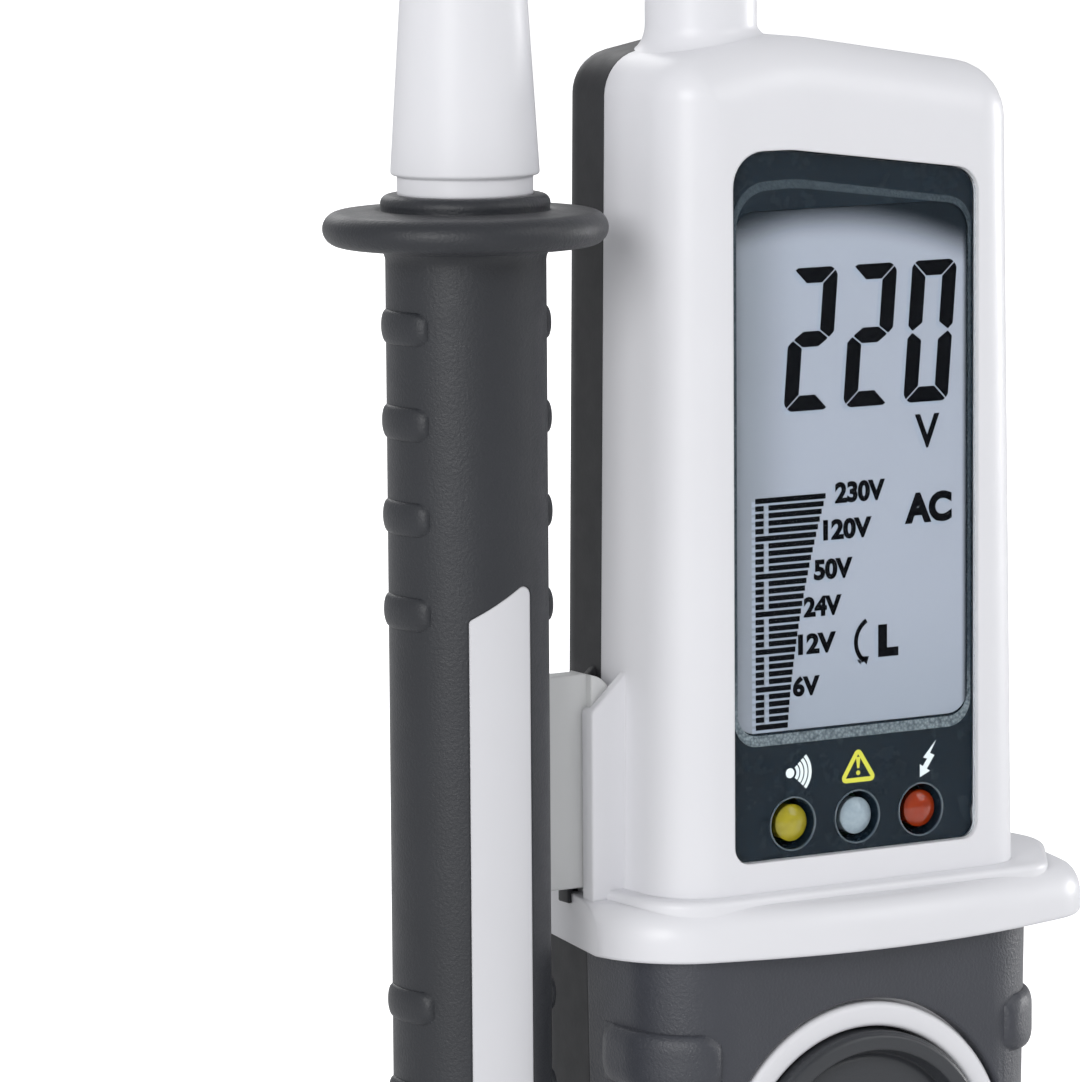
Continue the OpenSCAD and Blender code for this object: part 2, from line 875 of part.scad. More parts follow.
module push_button() {
    top = button_face;
    plate = button_face - button_shell;
    lip_front = core_front - move_gap;
    foot = board_front + switch_h + plunger_out;
    color(black) {
        turned_y(0, button_z)
            polygon([[stem_r, plate - button_dish], [stem_r, foot], [0, foot],
                     [0, top - button_dish + button_dome],
                     each [for (k = [1:arc_steps])
                         [button_dish_r * sin(90 * k / arc_steps),
                          top - button_dish - button_dome * (1 - 2 * cos(90 * k / arc_steps))]],
                     [button_dish_r + button_dome, top],
                     [button_r - button_rim, top + button_dome / 2], [button_r, top - button_rim],
                     [button_r, lip_front], [button_r + button_lip_w, lip_front],
                     [button_r + button_lip_w, lip_front - button_lip_t],
                     [button_r - button_skirt_t, lip_front - button_lip_t],
                     [button_r - button_skirt_t, plate - button_dish]]);
    }
}

module switch_plunger() {
    color("#e0d8c8") rod_y(0, button_z, plunger_r, -board_front - switch_h - plunger_out,
                           plunger_in - board_front - switch_h);
}

module switch_body() {
    color(black) difference() {
        translate([-switch_w / 2, -board_front - switch_h, button_z - switch_w / 2])
            cube([switch_w, switch_h, switch_w]);
        rod_y(0, button_z, plunger_r + run_gap, -board_front - switch_h - cut,
              plunger_in + button_travel + run_gap - board_front - switch_h);
    }
}

module battery_tray() {
    color("#2b2d31") difference() {
        union() {
            translate([-tray_half_w, tray_y, tray_z]) cube([2 * tray_half_w, cell_y - tray_y, tray_h]);
            for (side = [0, 1]) {
                translate([side * (2 * tray_half_w - leg_w) - tray_half_w, -core_front, tray_z])
                    cube([leg_w, core_front + tray_y, tray_h]);
            }
        }
        for (side = [-1, 1]) {
            translate([side * cell_x, cell_y, tray_z + tray_wall])
                cylinder(r = cell_d / 2 + tray_gap, h = bay_len);
        }
    }
}

module battery_cells() {
    for (side = [-1, 1]) {
        translate([side * cell_x, cell_y, tray_z + tray_wall + spring_room]) rotate([side > 0 ? 180 : 0, 0, 0])
            translate([0, 0, side > 0 ? -cell_len : 0]) {
                color("#8d9096") cylinder(r = cell_d / 2, h = cell_len - cell_nub_h);
                color(metal) cylinder(r = cell_nub_r, h = cell_len);
            }
    }
}

// A leaf contact: a plate against the tray's end wall with a tongue bent over to the cell
module leaf_contact(bend) {
    translate([contact_plate / 2, 0, 0]) rotate([0, -90, 0]) linear_extrude(contact_plate)
        polygon([[0, -contact_plate / 2], [contact_t, -contact_plate / 2], [contact_t, contact_plate / 4],
                 [bend, 0], [bend, -contact_plate / 4], [bend + contact_t, -contact_plate / 4],
                 [bend + contact_t, contact_t], [contact_t, contact_plate / 2], [0, contact_plate / 2]]);
}

module battery_contacts() {
    reach_in = spring_room - contact_t;
    color(metal) for (side = [-1, 1]) {
        translate([side * cell_x, cell_y, tray_z + tray_wall]) leaf_contact(reach_in);
        translate([side * cell_x, cell_y, tray_z + tray_wall + bay_len])
            rotate([180, 0, 0]) leaf_contact(reach_in);
    }
}

module battery_door() {
    color(dark) difference() {
        door_outline(grip_rear - door_t, grip_rear, 0);
        rod_y(0, door_screw_z, door_screw_head_r + run_gap, grip_rear - door_screw_head_h - move_gap,
              grip_rear + cut);
        rod_y(0, door_screw_z, door_screw_r + run_gap, grip_rear - door_t - cut, grip_rear);
        for (k = [0:pull_grooves - 1]) {
            translate([-pull_w / 2, grip_rear - pull_depth, pull_z + k * pull_pitch])
                cube([pull_w, pull_depth + cut, pull_pitch / 2]);
        }
    }
}

module door_screw() {
    color(metal) difference() {
        union() {
            rod_y(0, door_screw_z, door_screw_head_r, grip_rear - door_screw_head_h, grip_rear);
            rod_y(0, door_screw_z, door_screw_r, grip_rear - door_screw_len,
                  grip_rear - door_screw_head_h / 2);
        }
        translate([-door_screw_head_r, grip_rear - slot_depth, door_screw_z - slot_w / 2])
            cube([2 * door_screw_head_r, slot_depth + cut, slot_w]);
    }
}

module case_screw(x, z, seat) {
    difference() {
        union() {
            rod_y(x, z, screw_head_r, seat, seat + screw_head_h);
            rod_y(x, z, screw_r, parting_y - screw_len / 2, seat + screw_head_h / 2);
        }
        for (turned = [0, 90]) {
            translate([x, seat + screw_head_h, z]) rotate([0, turned, 0])
                cube([screw_head_r, 2 * slot_depth, slot_w / 2], center = true);
        }
    }
}

module case_screws() {
    color(metal) for (side = [-1, 1]) {
        for (p = [post_pairs[0], post_pairs[1]]) {
            case_screw(side * p[0], p[1], head_rear - screw_sink);
        }
        case_screw(side * post_pairs[2][0], post_pairs[2][1], grip_rear - screw_sink);
    }
}

// Cable bush: a sleeve through the foot wall with a flange inside
module bush(bore, sleeve, flange, seat, len) {
    rotate_extrude()
        polygon([[bore, 0], [sleeve, 0], [sleeve, seat], [flange, seat], [flange, seat + grommet_flange_t],
                 [sleeve, seat + grommet_flange_t], [sleeve - (sleeve - bore) / 3, len], [bore, len]]);
}

module cable_grommet() {
    color(black) bush(inlet_r, grommet_r, grommet_flange_r, foot_wall, inlet_len);
}

module inlay_prism(d) {
    upright([[-probe_x - inlay_w / 2, inlay_foot], [inlay_w / 2 - probe_x, inlay_foot + inlay_slant],
             [inlay_w / 2 - probe_x, inlay_top], [-probe_x - inlay_w / 2, inlay_top - inlay_slant]],
            -handle_d - d, -core_r / 2);
}

module probe_core() {
    color(white) difference() {
        union() {
            translate([-probe_x, 0, 0]) cylinder(r = core_r, h = collar_top);
            translate([-probe_x, 0, 0]) cylinder(r = core_r - wall / 2, h = nose_z + nose_spigot);
            intersection() {
                inlay_prism(0);
                translate([-probe_x, 0, 0]) cylinder(r = handle_r - inlay_depth, h = tip_top);
            }
        }
        translate([-probe_x, 0, -cut]) cylinder(r = core_bore_r, h = tip_top);
        translate([-probe_x, 0, -cut]) cylinder(r = grommet_r, h = foot_wall + cut);
    }
}

module bump_ring(z) {
    translate([-probe_x, 0, z]) rotate_extrude()
        polygon([[0, -bump_t / 2], [handle_r - bump_proud / 2, -bump_t / 2],
                 [handle_r + bump_proud, -bump_t / 4], [handle_r + bump_proud, bump_t / 4],
                 [handle_r - bump_proud / 2, bump_t / 2], [0, bump_t / 2]]);
}

// The sector that the grip bumps fill on one side of the handle
module bump_wedge(side) {
    side_y = handle_d * tan(bump_half_angle);
    translate([-probe_x, 0, 0]) linear_extrude(tip_top)
        polygon([[side * run_gap, 0], [side * handle_d, side_y], [side * handle_d, -side_y]]);
}

// Plan of the key: a plate from the core out to its wider head in the dock
module key_profile() {
    polygon([[-probe_x, -key_t / 2], [key_head_x, -key_t / 2], [key_head_x, -key_head_t / 2],
             [key_tip_x, -key_head_t / 2], [key_tip_x, key_head_t / 2],
             [key_head_x, key_head_t / 2], [key_head_x, key_t / 2], [-probe_x, key_t / 2]]);
}

module key_form() {
    intersection() {
        translate([0, key_y, key_z]) linear_extrude(key_h) key_profile();
        upright(rounded([[-probe_x, key_z, 0], [key_tip_x, key_z, key_foot_r],
                         [key_tip_x, key_z + key_h, key_edge], [-probe_x, key_z + key_h, 0]]),
                -head_front, head_rear);
    }
}

module dock_key() {
    color(grey) difference() {
        key_form();
        translate([-probe_x, 0, 0]) cylinder(r = core_r, h = tip_top);
    }
}

module probe_sleeve() {
    color(soft) difference() {
        union() {
            translate([-probe_x, 0, 0]) rotate_extrude()
                polygon([[0, 0], [handle_r - foot_edge, 0],
                         each [for (k = [0:arc_steps])
                             [handle_r - foot_edge * (1 - sin(90 * k / arc_steps)),
                              foot_edge * (1 - cos(90 * k / arc_steps))]],
                         [handle_r, guard_z - guard_t],
                         each [for (k = [0:2 * arc_steps])
                             [guard_r - guard_t / 2 * (1 - sin(90 * k / arc_steps)),
                              guard_z - guard_t / 2 * cos(90 * k / arc_steps)]],
                         [collar_r, guard_z + guard_t / 2], [collar_r, collar_top], [0, collar_top]]);
            intersection() {
                union() {
                    for (k = [0:bump_rows - 1]) {
                        bump_ring(bump_top - k * bump_pitch);
                    }
                    for (k = [0:low_bump_rows - 1]) {
                        bump_ring(low_bump_top - k * bump_pitch);
                    }
                }
                union() {
                    bump_wedge(-1);
                    bump_wedge(1);
                }
            }
        }
        translate([-probe_x, 0, -cut]) cylinder(r = core_r, h = tip_top);
        inlay_prism(cut);
        key_form();
    }
}

module probe_nose() {
    color(white) difference() {
        translate([-probe_x, 0, 0]) rotate_extrude()
            polygon([[0, collar_top], [nose_collar_r, collar_top], [nose_collar_r, nose_z],
                     [nose_d / 2 - nose_edge, nose_z], [nose_d / 2, nose_z + nose_edge],
                     [nose_top_d / 2, neck_top - 2 * nose_edge], [nose_top_d / 2 - 2 * nose_edge, neck_top],
                     [0, neck_top]]);
        translate([-probe_x, 0, collar_top - cut])
            cylinder(r = core_r - wall / 2, h = nose_z + nose_spigot - collar_top + cut);
        translate([-probe_x, 0, nose_z]) cylinder(r = core_bore_r, h = probe_tip_foot - nose_z);
        translate([-probe_x, 0, nose_z]) cylinder(r = tip_shaft_r, h = tip_top);
    }
}

module probe_tip() {
    color(metal) test_tip(probe_x, probe_tip_foot);
}

module probe_tip_cap() {
    color(dark) tip_cap(probe_x);
}

module probe_lead() {
    color("#8a2f28") translate([-probe_x, 0, probe_inlet_len])
        cylinder(r = lead_r, h = probe_tip_foot - probe_inlet_len);
}

module probe_grommet() {
    color(black) translate([-probe_x, 0, 0]) rotate_extrude()
        polygon([[probe_inlet_r, 0], [grommet_r, 0], [grommet_r, foot_wall], [core_bore_r, foot_wall],
                 [core_bore_r, probe_inlet_len], [probe_inlet_r, probe_inlet_len]]);
}

front_shell();
rear_shell();
grip_cover();
probe_neck();
main_tip();
tip_contact();
main_tip_cap();
display_lens();
display_bezel();
lcd_panel();
backlight();
main_board();
lamp_yellow();
lamp_clear();
lamp_red();
buzzer();
push_button();
switch_plunger();
switch_body();
battery_tray();
battery_cells();
battery_contacts();
battery_door();
door_screw();
case_screws();
cable_grommet();
probe_core();
probe_sleeve();
dock_key();
probe_nose();
probe_tip();
probe_tip_cap();
probe_lead();
probe_grommet();
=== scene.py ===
"""Two-pole voltage tester: the visible pieces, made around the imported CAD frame.

X runs to the viewer's right, -Y is the display side and +Z is up along the test tips.
Sizes in this file are in millimetres, and each mesh is made in metres.
"""

from math import cos, pi, radians, sin

import bmesh
import bpy
from bpy.props import FloatProperty, FloatVectorProperty, IntProperty, PointerProperty
from mathutils import Matrix, Vector


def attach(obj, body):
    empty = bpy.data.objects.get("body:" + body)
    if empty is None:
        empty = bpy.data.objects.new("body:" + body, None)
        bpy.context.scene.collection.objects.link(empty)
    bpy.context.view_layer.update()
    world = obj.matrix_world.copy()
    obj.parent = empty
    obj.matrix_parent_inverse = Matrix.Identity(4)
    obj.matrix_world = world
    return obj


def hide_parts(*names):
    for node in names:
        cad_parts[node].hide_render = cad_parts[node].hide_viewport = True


bl_info = {
    "name": "Two-pole voltage tester",
    "version": (1, 0, 0),
    "blender": (4, 5, 0),
    "location": "3D View > Sidebar > Tester",
    "description": "Builds the visible pieces of a two-pole voltage tester around its CAD frame",
    "category": "Object",
}

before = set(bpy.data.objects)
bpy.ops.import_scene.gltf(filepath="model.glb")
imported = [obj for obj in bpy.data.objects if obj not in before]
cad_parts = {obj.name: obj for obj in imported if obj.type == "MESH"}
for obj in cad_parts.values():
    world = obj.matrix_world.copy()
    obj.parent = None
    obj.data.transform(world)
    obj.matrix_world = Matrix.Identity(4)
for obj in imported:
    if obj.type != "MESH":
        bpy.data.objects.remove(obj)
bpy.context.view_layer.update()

MM = 0.001


def hex_colour(text):
    """An sRGB hex value as a linear colour with alpha"""
    parts = [int(text[i:i + 2], 16) / 255 for i in (1, 3, 5)]
    return tuple(c / 12.92 if c <= 0.04045 else ((c + 0.055) / 1.055) ** 2.4 for c in parts) + (1.0,)


# Sizes that the pieces share, in millimetres. An outline's corner is two coordinates and a radius.

# Head and grip: outline, how far front and rear stand from the middle, and how both edges are rounded
HEAD = [(-22.3, 119.0, 0), (22.3, 119.0, 0), (21.0, 214.0, 6.0), (-7.0, 218.4, 30.0), (-21.0, 215.7, 4.6)]
HEAD_FRONT, HEAD_REAR = 12.0, 11.5
HEAD_FORM = (HEAD, HEAD_FRONT, HEAD_REAR, 6.0, 4.0)
GRIP = [(-21.3, -2.0, 5.0), (21.3, -2.0, 5.0), (24.0, 138.5, 0), (-24.0, 138.5, 0)]
GRIP_FRONT, GRIP_REAR, GRIP_FRONT_R = 13.5, 13.0, 8.0
GRIP_FORM = (GRIP, GRIP_FRONT, GRIP_REAR, GRIP_FRONT_R, 3.5)
WALL, COVER = 2.2, 1.8

# Flange with its left end cut at a slant, and the plinth on its deck
FLANGE = [(-31.6, 16.5, 3.0), (-25.6, -12.5, 10.9), (2.0, -20.1, 70.0), (28.9, -13.0, 8.2), (33.2, 4.0, 24.0),
          (30.2, 16.5, 8.5)]
FLANGE_END = [(-34.4, -40.0), (60.0, -40.0), (60.0, 40.0), (-17.7, 40.0)]
PLINTH = [(-24.2, -13.6, 7.2), (22.5, -14.2, 6.0), (31.0, -1.5, 9.0), (29.0, 12.7, 5.0), (-24.2, 12.7, 5.2)]
FLANGE_Z, DECK_Z = 125.0, 130.5
PARTING_Y, FLANGE_PARTING_Y = 2.5, 9.2

# Window, display, the print on the bezel, and the lamps
WINDOW_Z = 134.5
WINDOW = [(-15.0, WINDOW_Z, 1.8), (15.0, WINDOW_Z, 1.8), (15.0, 203.9, 2.8), (-8.01, 206.8, 15.0),
          (-15.0, 206.8, 3.6)]
LCD_Y, PRINT_Y = -10.95, -11.1
LAMP_XS, LAMP_Z = (-7.42, 0.5, 8.4), 138.0

# Test button and the white collar round it
BUTTON_Z = 101.2
RING_R, RING_BORE, RING_FACE, RING_GAP = 17.75, 15.2, 13.35, 0.4

# Both test tips with their caps, and the second probe from its guard to its cone
NECK_X, PROBE_X = -11.0, -39.0
NECK_TOP, CAP_Z, CAP_TOP, TIP_TOP = 250.0, 250.3, 265.2, 269.2
GUARD_Z, HANDLE_R, BEAD_TOP = 199.7, 8.05, 203.1
NOSE_SEAT_R, NOSE_SEAT_TOP, NOSE_BORE_R, NOSE_BORE_TOP, TIP_BORE_R = 4.9, 214.3, 3.2, 238.0, 1.8

# Dock with the key that slides in it
DOCK_Y, KEY_LOW, KEY_TOP = 1.2, 131.55, 153.55

# Battery door, and the x and z of the screws
DOOR = [(-13.5, 17.0, 3.0), (13.5, 17.0, 3.0), (13.5, 78.0, 3.0), (-13.5, 78.0, 3.0)]
DOOR_SCREW_Z = 73.8
HEAD_SCREWS = ((18.0, 197.0), (-18.0, 197.0), (17.4, 137.0), (-17.4, 137.0))
FOOT_SCREWS = ((12.5, 9.5), (-12.5, 9.5))

# Half the width of a cutting block, which is wider than the tester, and how high it reaches
FAR, ABOVE = 99, 400

# The bars of a seven-segment digit that each figure lights
SEGMENTS = {"2": "abged", "0": "abcdef"}


# Mesh helpers


def new_piece(name, data):
    """An object of the scene that holds this mesh, curve, light or camera"""
    piece = bpy.data.objects.new(name, data)
    bpy.context.scene.collection.objects.link(piece)
    return piece


def from_bmesh(name, bm):
    """A piece from an edit mesh, which is used up"""
    mesh = bpy.data.meshes.new(name)
    bm.to_mesh(mesh)
    bm.free()
    return new_piece(name, mesh)


def new_mesh(name, points, faces):
    """A closed mesh piece from points in millimetres, merged and facing outwards"""
    bm = bmesh.new()
    verts = [bm.verts.new(Vector(p) * MM) for p in points]
    for face in faces:
        corners = [verts[i] for i in face]
        bm.faces.new(corners)
    bmesh.ops.remove_doubles(bm, verts=bm.verts, dist=2e-7)
    bmesh.ops.recalc_face_normals(bm, faces=bm.faces)
    return from_bmesh(name, bm)


def rounded(corners, inset=0.0, steps=8):
    """An outline's points, moved inwards, as many for any inset"""
    count = len(corners)
    flat = [Vector(c[:2]) for c in corners]

    def bisector(a, b, c):
        """Direction and half angle between the sides that meet at b, and both sides' directions"""
        u, v = (a - b).normalized(), (c - b).normalized()
        return (u + v).normalized(), u.angle(v) / 2, u, v

    inner = []
    for i in range(count):
        middle, half, _, _ = bisector(flat[i - 1], flat[i], flat[(i + 1) % count])
        inner.append(flat[i] + middle * inset / sin(half))
    points = []
    for i in range(count):
        b, r = inner[i], corners[i][2] - inset
        if r <= 0:
            points += [b.copy() for _ in range(steps + 1)]
            continue
        middle, half, u, v = bisector(inner[i - 1], b, inner[(i + 1) % count])
        centre = b + middle * r / sin(half)
        start = b + u * (r * cos(half) / sin(half)) - centre
        end = b + v * (r * cos(half) / sin(half)) - centre
        sweep = start.angle_signed(end)
        points += [centre + Matrix.Rotation(-sweep * k / steps, 2) @ start for k in range(steps + 1)]
    return points


def loft(name, loops):
    """A closed solid through loops of equally many points"""
    count = len(loops[0])
    points = [p for loop in loops for p in loop]
    faces = [tuple(range(count)), tuple(range(len(points) - count, len(points)))]
    for k in range(len(loops) - 1):
        a, b = k * count, (k + 1) * count
        faces += [(a + i, a + (i + 1) % count, b + (i + 1) % count, b + i) for i in range(count)]
    return new_mesh(name, points, faces)


def upright(name, outline, y0, y1):
    """A plate whose outline lies in the XZ plane"""
    return loft(name, [[(p[0], y, p[1]) for p in outline] for y in (y0, y1)])


def level(name, outline, z0, z1):
    """A plate whose outline lies in the XY plane"""
    return loft(name, [[(p[0], p[1], z) for p in outline] for z in (z0, z1)])


def block(name, low, high):
    """A plain block between two opposite corners"""
    plan = [(low[0], low[1]), (high[0], low[1]), (high[0], high[1]), (low[0], high[1])]
    return level(name, plan, low[2], high[2])


def oblong(x0, x1, z0, z1, r):
    """The corners of an upright rectangle, all with one radius"""
    return [(x0, z0, r), (x1, z0, r), (x1, z1, r), (x0, z1, r)]


def turned(name, profile, centre=(0, 0, 0), along="Z", segments=96):
    """A ring or solid turned from a closed profile of radius and height, which points forwards along Y"""
    points, faces, count = [], [], len(profile)
    for k in range(segments):
        c, s = cos(2 * pi * k / segments), sin(2 * pi * k / segments)
        for r, h in profile:
            p = (r * c, r * s, h) if along == "Z" else (r * c, -h, r * s)
            points.append([p[i] + centre[i] for i in range(3)])
        a, b = k * count, (k + 1) % segments * count
        faces += [(a + i, a + (i + 1) % count, b + (i + 1) % count, b + i) for i in range(count)
                  if profile[i][0] > 0 or profile[(i + 1) % count][0] > 0]
    return new_mesh(name, points, faces)


def rod(name, r, low, high, centre=(0, 0, 0), along="Z", segments=96):
    """A plain cylinder, most often the tool for a hole"""
    return turned(name, [(0, low), (r, low), (r, high), (0, high)], centre, along, segments)


def arc(centre, r, start, end, steps=8):
    """Points of an arc from one angle to another, in degrees"""
    angles = [radians(start + (end - start) * k / steps) for k in range(steps + 1)]
    return [(centre[0] + r * cos(a), centre[1] + r * sin(a)) for a in angles]


def moulded(name, corners, front, rear, front_r, rear_r, inset=0.0, steps=10):
    """A convex moulded block with its front and rear edges rounded over"""
    loops = []
    for r, y, way in ((front_r - inset, inset - front, 1), (rear_r - inset, rear - inset, -1)):
        part = []
        for k in range(steps + 1):
            t = radians(90 * k / steps)
            outline = rounded(corners, inset + r * (1 - sin(t)))
            part.append([(p[0], y + way * r * (1 - cos(t)), p[1]) for p in outline])
        loops += part[::way]
    return loft(name, loops)


def shift(piece, x, y, z):
    """Moves a piece's mesh, so that the object itself stays at the origin"""
    piece.data.transform(Matrix.Translation((x * MM, y * MM, z * MM)))


def duplicate(name, piece):
    """A copy of a piece with a mesh of its own"""
    return new_piece(name, piece.data.copy())


def settle(piece):
    """Replaces a piece's mesh with what its modifiers make of it"""
    view = bpy.context.evaluated_depsgraph_get()
    mesh = bpy.data.meshes.new_from_object(piece.evaluated_get(view))
    piece.modifiers.clear()
    piece.data = mesh
    return piece


def carve(piece, operation, *tools):
    """Joins, cuts or keeps the common part of closed pieces, and uses the tools up"""
    for tool in tools:
        step = piece.modifiers.new("carve", "BOOLEAN")
        step.operation, step.object, step.solver = operation, tool, "MANIFOLD"
        settle(piece)
        bpy.data.objects.remove(tool)
    return piece


def soften(piece, width, segments=2, angle=35):
    """Rounds the sharp edges of a simple piece"""
    edge = piece.modifiers.new("soften", "BEVEL")
    edge.width, edge.segments, edge.limit_method = width * MM, segments, "ANGLE"
    edge.angle_limit = radians(angle)
    return settle(piece)


def finished(piece, material, body, nodes=(), angle=32):
    """Gives a piece its finish and its body, smooths its shading, and hides the CAD nodes it stands for"""
    piece.data.materials.clear()
    piece.data.materials.append(bpy.data.materials[material])
    piece.data.shade_smooth()
    piece.data.set_sharp_from_angle(angle=radians(angle))
    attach(piece, body)
    if nodes:
        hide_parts(*nodes)
    return piece


def joined(name, pieces):
    """One piece from several that don't touch or only overlap"""
    bm = bmesh.new()
    for piece in pieces:
        bm.from_mesh(piece.data)
        bpy.data.objects.remove(piece)
    return from_bmesh(name, bm)


def add(tree, kind, wires=None, **settings):
    """Adds a node: settings are its properties, and wires link its inputs to sockets or give them values"""
    node = tree.nodes.new(kind)
    for key, value in settings.items():
        setattr(node, key, value)
    for key, value in (wires or {}).items():
        if isinstance(value, bpy.types.NodeSocket):
            tree.links.new(value, node.inputs[key])
        else:
            node.inputs[key].default_value = value
    return node


# Geometry Nodes trees


def new_tree(name, inputs):
    """An empty tree with named inputs of these kinds, and the sockets that give their values"""
    tree = bpy.data.node_groups.new(name, "GeometryNodeTree")
    for label, kind in inputs.items():
        tree.interface.new_socket(label, in_out="INPUT", socket_type="NodeSocket" + kind)
    tree.interface.new_socket("Geometry", in_out="OUTPUT", socket_type="NodeSocketGeometry")
    return tree, add(tree, "NodeGroupInput").outputs


def end_tree(tree, geometry, finish):
    """Ends a tree with real geometry that has its finish"""
    real = add(tree, "GeometryNodeRealizeInstances", {"Geometry": geometry})
    coloured = add(tree, "GeometryNodeSetMaterial", {"Geometry": real.outputs[0], "Material": finish})
    add(tree, "NodeGroupOutput", {"Geometry": coloured.outputs[0]})
    return tree


def row_tree():
    """Places one piece again and again along a straight line"""
    made = bpy.data.node_groups.get("row_of_pieces")
    if made:
        return made
    tree, given = new_tree("row_of_pieces",
                           {"Piece": "Object", "Count": "Int", "Step": "Vector", "Finish": "Material"})
    line = add(tree, "GeometryNodeMeshLine",
               {"Count": given["Count"], "Offset": given["Step"]}, mode="OFFSET")
    source = add(tree, "GeometryNodeObjectInfo", {"Object": given["Piece"]})
    placed = add(tree, "GeometryNodeInstanceOnPoints",
                 {"Points": line.outputs[0], "Instance": source.outputs["Geometry"]})
    return end_tree(tree, placed.outputs[0], given["Finish"])


def bar_tree():
    """Makes the bar graph: every fifth row is unbroken, and the others leave a gap after a short dash"""
    lengths = ("Pitch", "Left", "Top Right", "Narrowing", "Easing", "Dash", "Gap", "Height", "Thickness")
    tree, given = new_tree("bar_graph", {"Rows": "Int", **dict.fromkeys(lengths, "Float"), "Origin": "Vector",
                                         "Finish": "Material"})
    drop = add(tree, "ShaderNodeMath", {0: given["Pitch"], 1: -1.0}, operation="MULTIPLY")
    step = add(tree, "ShaderNodeCombineXYZ", {"Z": drop.outputs[0]})
    rows = add(tree, "GeometryNodeMeshLine",
               {"Count": given["Rows"], "Offset": step.outputs[0], "Start Location": given["Origin"]},
               mode="OFFSET")
    index = add(tree, "GeometryNodeInputIndex").outputs[0]
    beat = add(tree, "ShaderNodeMath", {0: index, 1: 5.0}, operation="MODULO")
    minor = add(tree, "ShaderNodeMath", {0: beat.outputs[0], 1: 0.5}, operation="GREATER_THAN")
    eased = add(tree, "ShaderNodeMath", {0: index, 1: given["Easing"]}, operation="MULTIPLY")
    rate = add(tree, "ShaderNodeMath", {0: given["Narrowing"], 1: eased.outputs[0]}, operation="SUBTRACT")
    lost = add(tree, "ShaderNodeMath", {0: index, 1: rate.outputs[0]}, operation="MULTIPLY")
    right = add(tree, "ShaderNodeMath", {0: given["Top Right"], 1: lost.outputs[0]}, operation="SUBTRACT")
    indent = add(tree, "ShaderNodeMath", {0: given["Dash"], 1: given["Gap"]}, operation="ADD")
    held = add(tree, "ShaderNodeMath", {0: indent.outputs[0], 1: minor.outputs[0]}, operation="MULTIPLY")
    start = add(tree, "ShaderNodeMath", {0: given["Left"], 1: held.outputs[0]}, operation="ADD")
    length = add(tree, "ShaderNodeMath", {0: right.outputs[0], 1: start.outputs[0]}, operation="SUBTRACT")
    unit = add(tree, "GeometryNodeMeshCube", {"Size": (1.0, 1.0, 1.0)})
    shifted = add(tree, "GeometryNodeTransform",
                  {"Geometry": unit.outputs[0], "Translation": (0.5, 0.0, 0.0)})
    bars = []
    for x, width, chosen in ((start.outputs[0], length.outputs[0], True),
                             (given["Left"], given["Dash"], minor.outputs[0])):
        place = add(tree, "ShaderNodeCombineXYZ", {"X": x})
        moved = add(tree, "GeometryNodeSetPosition",
                    {"Geometry": rows.outputs[0], "Offset": place.outputs[0]})
        size = add(tree, "ShaderNodeCombineXYZ", {"X": width, "Y": given["Thickness"], "Z": given["Height"]})
        bars.append(add(tree, "GeometryNodeInstanceOnPoints",
                        {"Points": moved.outputs[0], "Selection": chosen, "Instance": shifted.outputs[0],
                         "Scale": size.outputs[0]}))
    together = add(tree, "GeometryNodeJoinGeometry")
    for bar in bars:
        tree.links.new(bar.outputs[0], together.inputs[0])
    return end_tree(tree, together.outputs[0], given["Finish"])


def grown(name, tree, values):
    """A plain mesh from a Geometry Nodes tree whose named inputs get these values"""
    piece = new_piece(name, bpy.data.meshes.new(name))
    maker = piece.modifiers.new("maker", "NODES")
    maker.node_group = tree
    for item in tree.interface.items_tree:
        if item.in_out == "INPUT" and item.name in values:
            maker[item.identifier] = values[item.name]
    return settle(piece)


# Materials


def new_material(name, base, roughness, **sockets):
    """A material with one Principled shader, whose other sockets are set by name"""
    material = bpy.data.materials.new(name)
    material.use_nodes = True
    shader = material.node_tree.nodes["Principled BSDF"]
    shader.inputs["Base Color"].default_value = base
    shader.inputs["Roughness"].default_value = roughness
    for key, value in sockets.items():
        shader.inputs[key.replace("_", " ")].default_value = value
    material.diffuse_color = base
    return material.node_tree, shader


def stained(tree, colour, shade):
    """The socket of a colour that is multiplied by a shade"""
    return add(tree, "ShaderNodeMix", {"Factor": 1.0, 6: colour, 7: shade}, data_type="RGBA",
               blend_type="MULTIPLY").outputs[2]


